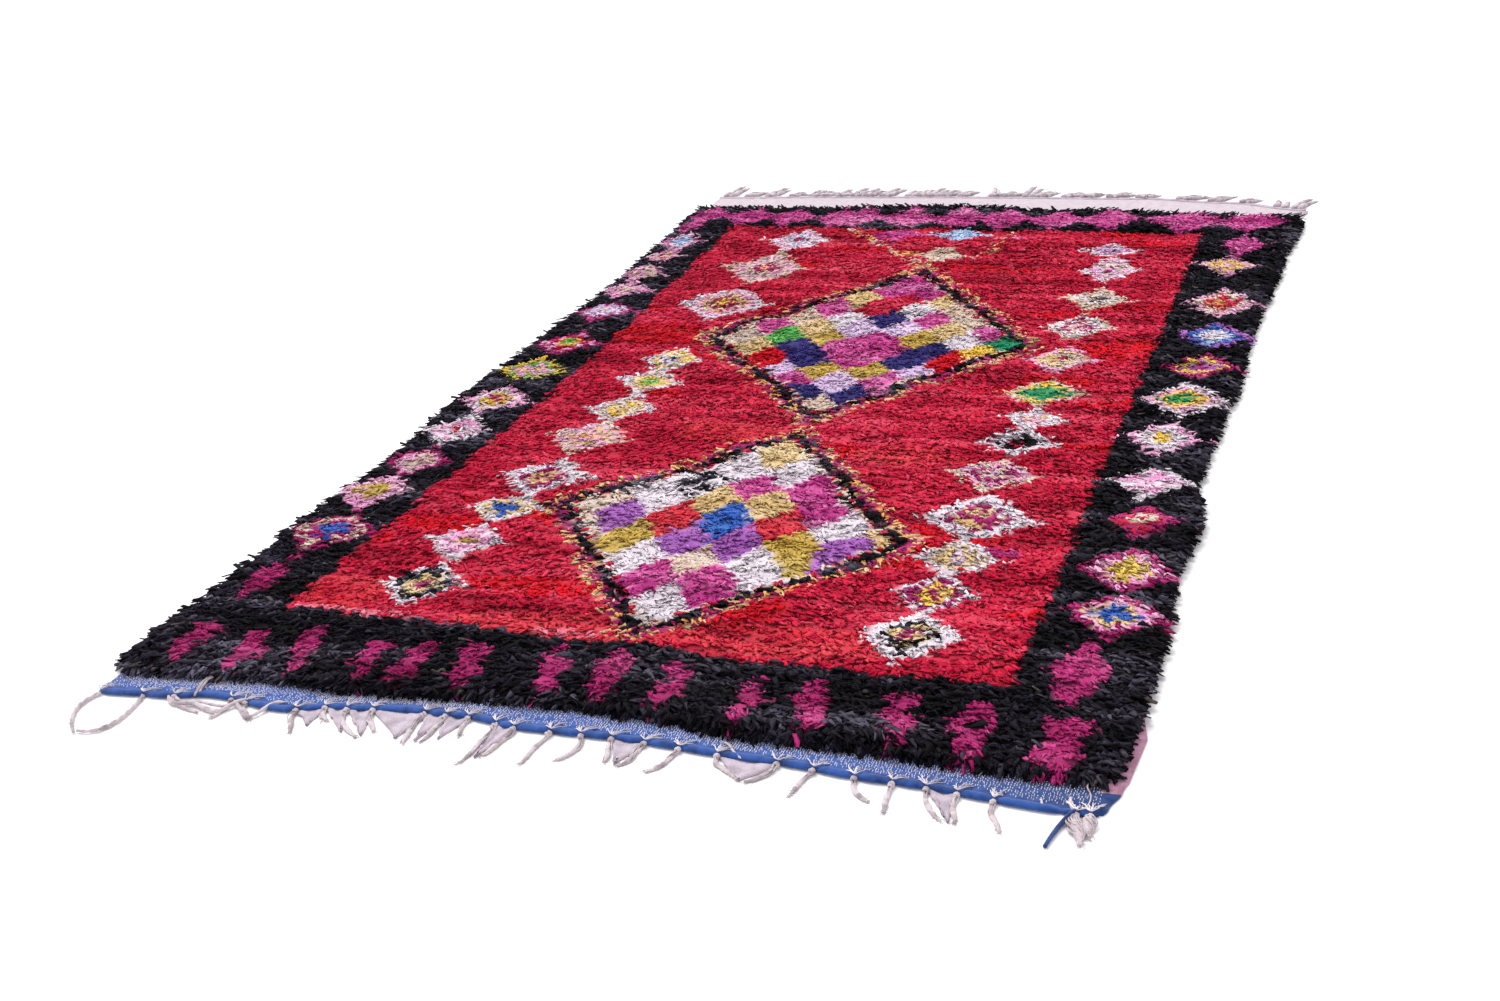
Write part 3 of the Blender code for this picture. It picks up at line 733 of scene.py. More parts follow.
def knot_letters(x, y, dice):
    """The dye of the knot at each place, read from the rug's design."""
    ragged_x = x + 0.0040 * lumps(x, y, 60.0, 60.0, 3.0) + dice.normal(0.0, 0.0014, len(x))
    ragged_y = y + 0.0040 * lumps(x, y, 60.0, 60.0, 7.0) + dice.normal(0.0, 0.0014, len(x))
    x, y = ragged_x, ragged_y
    letters = np.array(["K"] * len(x))
    chance = dice.random(len(x))
    letters[chance < STRAY_SHARE] = "D"
    field = (x > smooth_between(FIELD_LEFT, y)) & (x < smooth_between(FIELD_RIGHT, y))
    field &= (y > smooth_between(FIELD_NEAR, x)) & (y < FIELD_FAR)
    letters[field] = "R"
    streak = lumps(x, y, 4.0, 16.0, 11.0)
    letters[field & (streak > 0.42) & (chance < 0.8)] = "E"
    for patch in FIELD_PATCHES:
        reach = ((x - patch.x) / patch.half_width) ** 2 + ((y - patch.y) / patch.half_length) ** 2
        letters[field & (reach + 0.5 * streak < 1.0) & (chance < 0.85)] = patch.letter
    for lozenge in LOZENGES:
        paint_lozenge(letters, lozenge, x, y, dice)
    for motif in FAR_PATCHES + FIELD_MOTIFS + BORDER_MOTIFS:
        paint_motif(letters, motif, x, y, dice)
    for dash_x, dash_width in NEAR_DASHES:
        paint_dash(letters, dash_x, dash_width, x, y)
    for blob_x, blob_width in FAR_BLOBS:
        blob = Motif(blob_x, FAR_BLOB_ROW, blob_width * FAR_BLOB_GROWTH, FAR_BLOB_LENGTH, "Q")
        paint_motif(letters, blob, x, y, dice)
    mixed = letters == "Z"
    letters[mixed] = np.where(chance[mixed] < 0.5, "K", "W")
    return letters


def furrow_share(x, y):
    """How deep each place lies in one of the furrows that part the rows of knots, from 0 to 1."""
    return np.exp(-((lumps(x, y, 2.2, 26.0, 41.0) / 0.075) ** 2))


def dye_of(letters, x, y, dice):
    """A linear colour for each knot: a shade of its letter, by slow streaks and by chance, with painted
    shade in the furrows between rows and a painted highlight on the charcoal near the left edge.
    """
    streak = lumps(x, y, 3.0, 22.0, 17.0) + 0.5 * lumps(x, y, 18.0, 60.0, 23.0)
    tone = np.clip(0.5 + 0.75 * streak + dice.normal(0.0, 0.15, len(x)), 0.0, 0.999)
    colours = np.zeros((len(x), 3))
    for letter, codes in SHADES.items():
        chosen = letters == letter
        shades = np.array([linear(code) for code in codes])
        place = tone[chosen] * (len(codes) - 1)
        low = place.astype(int)
        share = (place - low)[:, None]
        colours[chosen] = shades[low] * (1 - share) + shades[low + 1] * share
    # Painted highlight: the charcoal lightened towards the left edge
    tone_factor = np.where(letters == "K", 1 + PAINTED_LIGHT_LEFT * np.clip(1 - x / PAINTED_LIGHT_REACH, 0.0, 1.0), 1.0)
    # Painted shade: darker in the furrows between the rows of knots
    return colours * (tone_factor * dice.uniform(0.92, 1.08, len(x)) * (1 - 0.30 * furrow_share(x, y)))[:, None]


# The pile


def pile_top(x, y):
    """Height of the lumpy pile at each place, which falls away at the rim, with furrows between rows."""
    depth = np.minimum.reduce(pile_edges(x, y))
    shoulder = np.clip(depth / 0.016, 0.0, 1.0)
    body = PILE_HEIGHT + LUMP_HEIGHT * lumps(x, y, *LUMPS_PER_METRE)
    rows = 0.0012 * lumps(x, y, 5.0, 75.0, 5.0)
    return RIM_HEIGHT + (body + rows - 0.0035 * furrow_share(x, y) - RIM_HEIGHT) * shoulder


def make_knots(dice):
    """Places of all the knots, a little uneven, row by row over the slab."""
    rows = np.arange(-0.02, 2.56, KNOT_ROW)
    columns = np.arange(-0.06, 1.52, KNOT_PITCH)
    x, y = (part.ravel() for part in np.meshgrid(columns, rows))
    x = x + dice.uniform(-0.36, 0.36, len(x)) * KNOT_PITCH
    y = y + dice.uniform(-0.30, 0.30, len(y)) * KNOT_ROW
    kept = np.minimum.reduce(pile_edges(x, y)) > 0.0
    return x[kept], y[kept]


def lock_leans(x, y, dice):
    """Directions in which the locks lie: left or right and towards the near end, outward at the rim."""
    count = len(x)
    left, right, near, far = pile_edges(x, y)
    drift = 0.9 * lumps(x, y, 9.0, 22.0, 31.0) + 1.5 * (x / PILE_WIDTH - 0.5)
    to_right = drift + dice.normal(0.0, 0.30, count) > 0
    spread = 68.0 + 16.0 * lumps(x, y, 14.0, 30.0, 37.0) + dice.normal(0.0, 13.0, count)
    spread = np.radians(np.clip(spread, 12.0, 100.0))
    angle = np.where(to_right, -np.pi / 2 + spread, -np.pi / 2 - spread)
    lean = np.column_stack([np.cos(angle), np.sin(angle)])
    for depth, way in ((left, (-1, -0.25)), (right, (1, -0.25)), (near, (0, -1)), (far, (0, 1))):
        pull = np.clip(1 - depth / 0.030, 0.0, 1.0)[:, None]
        lean = lean + 1.6 * pull * np.array(way)
    return unit(lean)


def lock_points(x, y, lean, kind, dice, hangs=False):
    """Points of the locks rooted at the given places: a root, then two stations of three points each.

    A lock leaves its root, crests at the pile's top and lies over along its lean, or hangs over the rim.
    """
    size = LOCK_SIZES[kind]
    count = len(x)
    left, right, near, far = pile_edges(x, y)
    length = dice.uniform(*size.length, count)
    width = dice.uniform(*size.width, count)
    blunt = dice.uniform(*size.blunt, count)
    room = np.maximum(np.minimum.reduce([left, right, near, far]), 0.0) + LOCK_REACH
    is_big = (dice.random(count) < BIG_RAG_SHARE) & (kind == "dark") & (not hangs)
    grown = np.where(is_big, BIG_RAG_GROWTH, 1.0)
    length = np.minimum(length * grown, room * dice.uniform(0.80, 1.20, count))
    width = width * grown
    crest = pile_top(x, y) + dice.normal(0.0, size.unevenness, count)
    stands = dice.random(count) < size.stand + 0.5 * np.clip(1 - far / 0.05, 0.0, 1.0)
    rise = dice.uniform(0.001, 0.006, count)
    tip = crest + np.where(stands, rise, -dice.uniform(0.0005, size.drop, count))
    root = np.maximum(crest - 0.010, PILE_FOOT)
    if hangs:
        crest = crest * dice.uniform(0.55, 1.0, count)
        tip = dice.uniform(0.0035, 0.0095, count)
        root = np.maximum(crest - 0.008, PILE_FOOT)
    middle_share = dice.uniform(0.34, 0.50, count)
    bend = dice.normal(0.0, 0.0020, count)
    across = np.column_stack([lean[:, 1], -lean[:, 0], np.zeros(count)])
    ahead = np.column_stack([lean, np.zeros(count)])
    start = np.column_stack([x, y, root])
    middle = start + ahead * (length * middle_share)[:, None] + across * bend[:, None]
    middle[:, 2] = crest
    end = start + ahead * length[:, None] - across * bend[:, None]
    end[:, 2] = tip
    stations = np.stack([middle, end], axis=1)
    heading = unit(np.stack([end - start, end - middle], axis=1))
    side = unit(np.cross(heading, np.array([0.0, 0.0, 1.0])))
    normal = np.cross(side, heading)
    roll = dice.normal(0.0, 0.22, count)[:, None]
    roll = (roll + np.array([0.0, 1.0]) * dice.normal(0.0, 0.35, count)[:, None]) * size.turned
    cos, sin = np.cos(roll)[..., None], np.sin(roll)[..., None]
    side, normal = side * cos + normal * sin, normal * cos - side * sin
    half = np.stack([width * 0.50, width * 0.50 * blunt], axis=1)[..., None]
    thick = (np.array([1.0, 0.55]) * size.thickness)[None, :, None]
    thick = thick * dice.uniform(0.7, 1.3, count)[:, None, None]
    skew = dice.uniform(-0.4, 0.4, count)[:, None, None]
    ridge = stations + side * half * skew + normal * thick
    ring = np.stack([stations - side * half, stations + side * half, ridge], 2)
    ring = ring + dice.normal(0.0, 1.0, ring.shape) * np.array([0.0013, 0.0013, 0.0007])
    points = np.concatenate([start[:, None, :], ring.reshape(count, 6, 3)], axis=1)
    points[..., 2] = np.clip(points[..., 2], 0.0008, LOCK_CEILING)
    return points


def lock_cells(count):
    """Texture places of the locks' faces: each lock has a small square of its own."""
    across = math.ceil(math.sqrt(count))
    strip = (1 - 2 * CELL_MARGIN) / 3
    low, middle, high, top = CELL_MARGIN, 0.34, 0.80, 1 - CELL_MARGIN
    quads = []
    triangles = []
    for corner in range(3):
        start = CELL_MARGIN + strip * corner
        triangles += [(start + strip / 2, low), (start, middle), (start + strip, middle)]
        quads += [(start, middle), (start, high), (start + strip, high), (start + strip, middle)]
    triangles += [(0.3, high), (0.7, high), (0.5, top)]
    order = np.arange(count)
    corner_of = np.column_stack([order % across, order // across])
    parts = [(np.array(part)[None] + corner_of[:, None]) / across for part in (triangles, quads)]
    return np.concatenate([part.reshape(-1, 2) for part in parts])


def add_locks(name, points, colours, material):
    """One piece of many locks, with each lock's own dye, darker at its root as painted shade and lighter at
    its tip as a painted highlight.
    """
    count = len(points)
    steps = np.arange(count)[:, None, None] * LOCK_POINTS
    groups = [(faces[None] + steps).reshape(-1, faces.shape[1]) for faces in (LOCK_TRIANGLES, LOCK_QUADS)]
    # Painted shade at each lock's root and a painted highlight at its tip
    dyes_with_painted_light = (colours[:, None, :] * LOCK_PAINTED_LIGHT[None, :, None]).reshape(-1, 3)
    return new_piece(name, points.reshape(-1, 3), groups, material, "rag_pile", dyes_with_painted_light, lock_cells(count))


def rim_places(dice):
    """Roots and outward directions of the locks that hang over the pile's four edges."""
    spots = []
    along_sides = np.arange(0.03, 2.52, 0.0052)
    along_ends = np.arange(0.0, 1.48, 0.0052)
    sides = (
        (PILE_LEFT, along_sides, (-1.0, -0.10), LOCK_REACH, False),
        (PILE_RIGHT, along_sides, (1.0, -0.20), -LOCK_REACH, False),
        (PILE_NEAR, along_ends, (0.0, -1.0), LOCK_REACH, True),
        (PILE_FAR, along_ends, (0.10, 1.0), -LOCK_REACH, True),
    )
    for table, places, way, inset, is_end in sides:
        for layer in (0.002, 0.009):
            shaken = places + dice.uniform(-0.003, 0.003, len(places))
            edge = smooth_between(table, shaken) + inset + math.copysign(layer, inset)
            x, y = (shaken, edge) if is_end else (edge, shaken)
            spots.append(np.column_stack([x, y, np.full(len(x), way[0]), np.full(len(x), way[1])]))
    spots = np.concatenate(spots)
    kept = np.minimum.reduce(pile_edges(spots[:, 0], spots[:, 1])) > -0.001
    return spots[kept]


def split_evenly(name, points, colours, material):
    """Pieces of at most so many locks, parted along the rug."""
    order = np.argsort(points[:, 0, 1], kind="stable")
    parts = np.array_split(order, math.ceil(len(order) / MOST_LOCKS))
    return [
        add_locks(f"{name}_{number}", points[chosen], colours[chosen], material)
        for number, chosen in enumerate(parts, start=1)
    ]


def make_pile():
    """All the rag locks, in pieces by dye, charcoal, red and bright, and those that hang over the rim."""
    dice = np.random.default_rng(11)
    materials = {
        "dark": rag_material("charcoal_rag", 0.02, 220.0, 0.40),
        "red": rag_material("red_rag", 0.02, 240.0, 0.22, 0.0020),
        "bright": rag_material("bright_rag", 0.03, 280.0, 0.15, 0.0016),
    }
    x, y = make_knots(dice)
    lean = lock_leans(x, y, dice)
    letters = knot_letters(x + SEEN_REACH * lean[:, 0], y + SEEN_REACH * lean[:, 1], dice)
    groups = {"dark": np.isin(letters, DARKS), "red": np.isin(letters, REDS)}
    groups["bright"] = ~(groups["dark"] | groups["red"])
    pieces = []
    for kind, chosen in groups.items():
        knots = (x[chosen], y[chosen], letters[chosen], lean[chosen])
        is_near = (knots[1] < NEAR_SECOND_END) & (kind == "dark")
        second = dice.random(len(knots[0])) < np.where(is_near, NEAR_SECOND, SECOND_LOCKS[kind])
        kx, ky, kl, kd = (np.concatenate([part, part[second]]) for part in knots)
        kx = kx + dice.uniform(-0.40, 0.40, len(kx)) * KNOT_PITCH
        ky = ky + dice.uniform(-0.40, 0.40, len(ky)) * KNOT_ROW
        kd = unit(kd + dice.normal(0.0, 0.16, kd.shape))
        points = lock_points(kx, ky, kd, kind, dice)
        colours = dye_of(kl, kx, ky, dice)
        pieces += split_evenly(f"{kind}_locks", points, colours, materials[kind])
    rim = rim_places(dice)
    x, y = rim[:, 0], rim[:, 1]
    lean = unit(rim[:, 2:] + dice.normal(0.0, 0.35, (len(rim), 2)))
    letters = knot_letters(x, y, dice)
    points = lock_points(x, y, lean, "dark", dice, hangs=True)
    return pieces + split_evenly("rim_locks", points, dye_of(letters, x, y, dice), materials["dark"])


def make_pile_base():
    """The matted roots of the pile, darkened as painted shade between the locks, on the ground cloth."""
    across, along = np.meshgrid(np.linspace(0, 1, 92), np.linspace(0, 1, 165))
    guess = PILE_WIDTH * across
    near = smooth_between(PILE_NEAR, guess) + LOCK_REACH
    far = smooth_between(PILE_FAR, guess) - LOCK_REACH
    ys = near + (far - near) * along
    left = smooth_between(PILE_LEFT, ys) + LOCK_REACH
    right = smooth_between(PILE_RIGHT, ys) - LOCK_REACH
    xs = left + (right - left) * across
    flat_x, flat_y = xs.ravel(), ys.ravel()
    dice = np.random.default_rng(5)
    letters = knot_letters(flat_x, flat_y, dice)
    is_dark = np.isin(letters, DARKS)
    is_red = np.isin(letters, REDS)
    depth = np.where(is_dark, 0.0036, np.where(is_red, 0.0015, 0.0011))
    top = np.maximum(pile_top(flat_x, flat_y) - depth, PILE_FOOT + 0.002)
    # Painted shade: the roots' dye is darkened, most under the charcoal, where they lie in shade between the
    # locks
    shaded = np.where(is_dark, 0.55, np.where(is_red, 0.90, 0.94))
    colours = dye_of(letters, flat_x, flat_y, dice) * shaded[:, None]
    points, groups = grid_sheet(xs, ys, top.reshape(xs.shape), np.full(xs.shape, PILE_FOOT))
    material = rag_material("rag_roots", 0.1, 260.0, 0.3)
    base = new_piece("pile_roots", points, groups, material, "rag_pile", np.tile(colours, (2, 1)))
    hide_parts("pile")
    return base


# The ground cloth


def make_ground(materials):
    """The woven cloth: ribbed blue near band, pink ground with its selvedge, ribbed pale far band."""
    across = np.linspace(0, 1, 60)
    near_rows = np.arange(0.0, NEAR_BAND_DEPTH, RIB_PITCH)
    plain_rows = np.linspace(NEAR_BAND_DEPTH, CLOTH_LENGTH - FAR_BAND_DEPTH, 24)
    far_rows = np.arange(CLOTH_LENGTH - FAR_BAND_DEPTH, CLOTH_LENGTH, RIB_PITCH * 1.8)[1:]
    places = np.concatenate([near_rows, plain_rows, far_rows])
    near_ribs = np.arange(len(near_rows)) % 2
    far_ribs = np.arange(len(far_rows)) % 2
    ribs = np.concatenate([near_ribs, np.zeros(len(plain_rows)), far_ribs])
    near_edge = smooth_between(BAND_NEAR, across * PILE_WIDTH) + STRIP_SETBACK
    far_edge = smooth_between(BAND_FAR, across * PILE_WIDTH) - STRIP_SETBACK
    share = places[:, None] / places[-1]
    ys = near_edge[None] + places[:, None] + share * (far_edge - near_edge - places[-1])[None]
    left = smooth_between(CLOTH_LEFT, ys)
    right = smooth_between(CLOTH_RIGHT, ys)
    xs = left + (right - left) * across[None]
    top = np.broadcast_to(CLOTH_THICKNESS - 0.0003 + 0.0004 * ribs[:, None], xs.shape)
    points, groups = grid_sheet(xs, ys, top, np.zeros(xs.shape))
    sheet = new_piece("ground_weave", points, groups, materials, "ground_cloth")
    middle_x, middle_y = points[groups[0]].mean(axis=1)[:, :2].T
    is_blue = middle_y < smooth_between(PILE_NEAR, middle_x) + 0.030
    is_blue &= (middle_x < SELVEDGE_START) | (middle_y < 0.0)
    is_pale = middle_y > smooth_between(PILE_FAR, middle_x) - 0.060
    chosen = np.where(is_blue, 1, np.where(is_pale, 2, 0))
    sheet.data.polygons.foreach_set("material_index", chosen.astype(np.int32))
    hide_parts("ground_cloth")
    cells = np.diff(ys, axis=0)[:, :-1] * np.diff(xs, axis=1)[:-1]
    return sheet, float(np.abs(cells).sum())


def make_warps(material):
    """The near band's warp threads: short floats over the weft, and a fan gathered into each knot."""
    dice = np.random.default_rng(23)
    xs, rows = np.meshgrid(np.arange(0.004, 1.474, WARP_PITCH), np.arange(9))
    xs, rows = xs.ravel(), rows.ravel()
    odd = np.round(xs / WARP_PITCH).astype(int) % 2
    top = smooth_between(PILE_NEAR, xs) + 0.012
    edge = smooth_between(BAND_NEAR, xs) + 0.019
    share = (rows + 0.5 * odd + dice.uniform(-0.22, 0.22, len(xs))) / 9
    kept = dice.random(len(xs)) < 0.96 - 0.45 * share**2
    xs, share, top, edge = xs[kept], share[kept], top[kept], edge[kept]
    middle_y = top + (edge - top) * share
    middle_x = xs + dice.normal(0.0, 0.0006, len(xs))
    half = dice.uniform(0.0014, 0.0025, len(xs))
    slant = dice.normal(0.0, 0.0004, len(xs))
    along = np.array([-1.0, 0.0, 1.0])
    paths = np.stack(
        [
            middle_x[:, None] + slant[:, None] * along,
            middle_y[:, None] + half[:, None] * along,
            CLOTH_THICKNESS + np.broadcast_to(np.array([-0.0005, 0.0007, -0.0005]), (len(xs), 3)),
        ],
        axis=-1,
    )
    radius = np.broadcast_to(np.array([0.00045, 0.00080, 0.00045]), (len(xs), 3))
    floats = tubes(paths, radius, radius, 3)
    fans = []
    for strand in NEAR_STRANDS:
        if strand.kind == "weft":
            continue
        foot = float(smooth_between(BAND_NEAR, strand.root))
        for _ in range(int(dice.integers(8, 11))):
            side = dice.uniform(-0.019, 0.019)
            high = foot + dice.uniform(0.016, 0.032)
            run = np.linspace(0.0, 1.0, 8)
            wave = dice.normal(0.0, 0.0007, 8) * np.sin(run * np.pi)
            fan_x = strand.root + side * (1 - run) ** 0.75 + wave
            fan_y = high + (foot + 0.002 - high) * run + wave[::-1]
            lift = CLOTH_THICKNESS - 0.0006 + 0.0072 * np.sin(np.clip(run * 1.25, 0.0, 1.0) * np.pi / 2)
            fans.append(np.column_stack([fan_x, fan_y, lift]))
    fans = np.stack(fans)
    thread = np.full(fans.shape[:2], 0.00085)
    return add_joined("band_warps", [floats, tubes(fans, thread, thread, 3)], material)


def make_roll(material):
    """The band's plain rolled edge, pinched by each knot and bulging between them."""
    roots = np.array([s.root for s in NEAR_STRANDS])
    xs = np.arange(0.001, 1.478, 0.0045)
    apart = np.min(np.abs(xs[:, None] - roots[None]), axis=1)
    bulge = np.clip(apart / 0.014, 0.0, 1.0) ** 0.7
    bulge = bulge * (1 + 0.2 * lumps(xs, xs * 0, 60.0, 1.0, 2.0))
    wide = 0.0036 + 0.0034 * bulge
    high = 0.0021 + 0.0016 * bulge
    ends = np.clip(np.minimum(xs - xs[0], xs[-1] - xs) / 0.008, 0.35, 1.0)
    ys = smooth_between(BAND_NEAR, xs) + ROLL_INSET
    paths = np.stack([xs, ys, high * ends + 0.0004], axis=-1)[None]
    parts = [tubes(paths, (wide * ends)[None], (high * ends)[None], 12)]
    return add_joined("band_roll", parts, material, "ground_cloth")


def make_far_roll(material):
    """The far band's outer edge, where the pale weft ends and the warps are drawn into tassels."""
    xs = np.arange(FAR_STRIP_ENDS[0], FAR_STRIP_ENDS[1], 0.008)
    ys = smooth_between(BAND_FAR, xs) - 0.0010
    ripple = 1 + 0.25 * lumps(xs, xs * 0, 55.0, 1.0, 6.0)
    wide = 0.0085 * ripple
    high = 0.0026 * ripple
    paths = np.stack([xs, ys, high + 0.0003], axis=-1)[None]
    return add_joined("far_roll", [tubes(paths, wide[None], high[None], 10)], material, "ground_cloth")


# The fringes


def strand_route(strand, edge, stations):
    """Middle line of a strand, seen from above: a bowed route from its root to its tip."""
    root = np.array([strand.root, float(smooth_between(edge, strand.root))])
    tip = root + np.array([strand.reach_x, strand.reach_y])
    bend = root + np.array([strand.bow_x, strand.reach_y / 2 + strand.bow_y])
    share = np.linspace(0.0, 1.0, stations)[:, None]
    return root * (1 - share) ** 2 + bend * 2 * share * (1 - share) + tip * share**2


def run_along(route):
    """How far along a route each of its stations lies."""
    return np.concatenate([[0], np.cumsum(np.linalg.norm(np.diff(route, axis=0), axis=1))])


def aside(route):
    """Level directions to the right of a route at each of its stations."""
    heading = unit(np.gradient(route, axis=0))
    return np.column_stack([heading[:, 1], -heading[:, 0]])


def loop_yarn(route, dice):
    """The corner loop's twisted yarn: the paths of its plies, and their radii."""
    run = run_along(route)
    across = aside(route)
    share = run / run[-1]
    shape = np.where(share > 0.72, 1 - (1 - LOOP_TAPER) * ((share - 0.72) / 0.28), 1.0)
    begin = dice.uniform(0, 2 * np.pi)
    paths = []
    for number in range(LOOP_PLIES):
        turn = 2 * np.pi * (run / LOOP_PITCH + number / LOOP_PLIES) + begin
        out = LOOP_RADIUS * np.cos(turn) * (1.0 + 0.25 * np.sin(run * 90 + number))
        rise = LOOP_RADIUS * np.sin(turn) * shape
        place = route + across * (out * np.clip(shape, 0.5, 1.0))[:, None]
        height = np.maximum(LOOP_HEIGHT + rise, LOOP_PLY * shape + 0.0002)
        paths.append(np.column_stack([place, height]))
    return np.stack(paths), np.tile(LOOP_PLY * shape, (LOOP_PLIES, 1))


def loose_threads(route, count, belly, dice):
    """A tassel's threads: held at the neck, spread over the belly, drawn together and frayed at the tip."""
    run = run_along(route)
    share = run / run[-1]
    across = aside(route)
    neck, thread = 0.0016, 0.0010
    spread = neck + (belly - neck) * np.sin(np.clip(share * 1.15, 0.0, 1.0) * np.pi) ** 0.8
    sway = dice.normal(0.0, 0.0016) * np.sin(share * np.pi * dice.uniform(1.5, 3.0))
    paths = []
    for number in range(count):
        begin = 2 * np.pi * number / count + dice.normal(0.0, 0.3)
        turn = begin + share * dice.uniform(1.5, 4.0)
        own = dice.uniform(0.5, 1.15)
        wave = dice.normal(0.0, 0.0006) * np.sin(share * np.pi * dice.uniform(2.0, 6.0))
        out = spread * own * np.cos(turn) + sway + wave
        rise = spread * 0.55 * own * (1 + np.sin(turn))
        place = route + across * out[:, None]
        height = 0.0002 + thread + rise * (1 - 0.5 * share) + 0.0026 * np.exp(-((share / 0.18) ** 2))
        paths.append(np.column_stack([place, height]))
    radii = np.tile(thread * np.where(share > 0.7, 1 - 0.6 * (share - 0.7) / 0.3, 1.0), (count, 1))
    radii = radii * dice.uniform(0.75, 1.25, (count, 1))
    return np.stack(paths), radii


def matted_core(route, wide_at, dice):
    """A tassel's matted middle: a lumpy flat tube whose half width follows the table along the route."""
    share = np.linspace(0.0, 1.0, len(route))
    wide = np.interp(share, *zip(*wide_at)) * (1 + 0.14 * dice.normal(0.0, 1.0, len(route)))
    high = wide * 0.62
    path = np.column_stack([route, high + 0.0004 + 0.0020 * np.exp(-((share / 0.18) ** 2))])
    return path[None], wide[None], high[None]


def knot_coil(route, dice):
    """A knot: a short coil of yarn round the start of a strand."""
    share = np.linspace(0, 1, 22)
    turn = share * KNOT_TURNS * 2 * np.pi + dice.uniform(0, 2 * np.pi)
    heading = unit(route[-1] - route[0])
    across = np.array([heading[1], -heading[0]])
    middle = route[0] + (route[-1] - route[0]) * share[:, None]
    swell = KNOT_RADIUS * (0.75 + 0.35 * np.sin(share * np.pi))
    place = middle + across * (swell * np.cos(turn))[:, None]
    height = np.maximum(KNOT_RADIUS + KNOT_YARN + swell * np.sin(turn), KNOT_YARN + 0.0002)
    path = np.column_stack([place, height])[None]
    return path, (KNOT_YARN * (0.8 + 0.3 * np.sin(share * np.pi)))[None]


def frayed_ends(route, dice):
    """Fine hairs that splay from a strand's tip."""
    heading = unit(route[-1] - route[-3])
    angle = math.atan2(heading[1], heading[0])
    paths = []
    for _ in range(8):
        turn = angle + dice.normal(0.0, 0.5)
        start = route[-1 - int(dice.integers(0, 4))]
        reach = 0.012 * dice.uniform(0.5, 1.0)
        share = np.linspace(0, 1, 4)[:, None]
        bow = dice.normal(0.0, 0.002)
        ahead = np.array([math.cos(turn), math.sin(turn)])
        beside = np.array([-ahead[1], ahead[0]])
        place = start + ahead * reach * share + beside * bow * np.sin(share * np.pi)
        height = 0.0012 + 0.0012 * dice.random() * (1 - share)
        paths.append(np.column_stack([place, height]))
    return np.stack(paths), np.tile(np.array([0.0007, 0.0006, 0.0005, 0.0003]), (len(paths), 1))


def sibling(strand, dice):
    """A shorter tassel beside another."""
    shrink = dice.uniform(0.62, 0.95)
    return strand._replace(
        root=strand.root + dice.uniform(0.013, 0.021),
        reach_x=strand.reach_x + dice.uniform(-0.006, 0.012),
        reach_y=strand.reach_y * shrink,
    )


def make_strands(name, strands, edge, is_far, material, node, dice):
    """A whole fringe: a matted core, loose threads and frayed hairs for each strand, knotted if near."""
    parts = []
    if is_far:
        strands = [*strands, *(sibling(strand, dice) for strand in strands)]
    for strand in strands:
        if strand.kind == "weft":
            continue
        route = strand_route(strand, edge, 15 if is_far else 22)
        if strand.kind == "loop":
            paths, radii = loop_yarn(route, dice)
            parts.append(tubes(paths, radii, radii, 6))
            continue
        is_fluffy = strand.kind == "fluffy"
        count = 22 if is_fluffy else int(dice.integers(4, 7))
        belly = 0.0100 if is_fluffy else dice.uniform(0.0026, 0.0046)
        if is_far:
            belly = belly * 1.8
        else:
            heading = unit(route[-1] - route[0])
            size = dice.uniform(0.0010, 0.0032)
            sway = size * np.sin(np.linspace(0.0, dice.uniform(4.0, 7.5), len(route)))
            sway = sway * np.linspace(0.0, 1.0, len(route))
            route = route + np.array([heading[1], -heading[0]]) * sway[:, None]
        widths = FLUFFY_WIDTHS if is_fluffy else FAR_WIDTHS if is_far else NEAR_WIDTHS
        parts.append(tubes(*matted_core(route, widths, dice), 8))
        paths, radii = loose_threads(route, count, belly, dice)
        parts.append(tubes(paths, radii, radii, 4))
        if not is_far:
            paths, radii = knot_coil(route[0:4], dice)
            parts.append(tubes(paths, radii, radii, 7))
        hairs, radii = frayed_ends(route, dice)
        parts.append(tubes(hairs, radii, radii, 3))
    piece = add_joined(name, parts, material)
    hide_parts(node)
    return piece


def gauze_web(first, second, dice):
    """A web of matted warp between two tassels: a thin closed cloth, from both knots to a ragged tip."""
    share = np.linspace(0, 1, 9)[None, :]
    down = np.linspace(0, 1, 10)[:, None]
    tip = (first[-1] * 0.45 + second[-1] * 0.55) + dice.normal(0.0, 0.004, 2)
    left = first[0] + (tip - first[0]) * down
    right = second[0] + (tip - second[0]) * down
    bulge = 0.006 * np.sin(down * np.pi)
    place = left[:, None, :] + (right - left)[:, None, :] * share[..., None]
    place[..., 1] -= (bulge * np.sin(share * np.pi)) - 0.006 * np.sin(share * np.pi) * (1 - down)
    ragged = dice.normal(0.0, 0.0011, place.shape) * (down > 0.05)[..., None]
    place = place + ragged
    middle = 0.0022 + 0.0013 * np.sin(share * 9.0 + down * 3.0) + dice.normal(0.0, 0.0003, place.shape[:2])
    return grid_sheet(place[..., 0], place[..., 1], middle + 0.0004, middle - 0.0004)


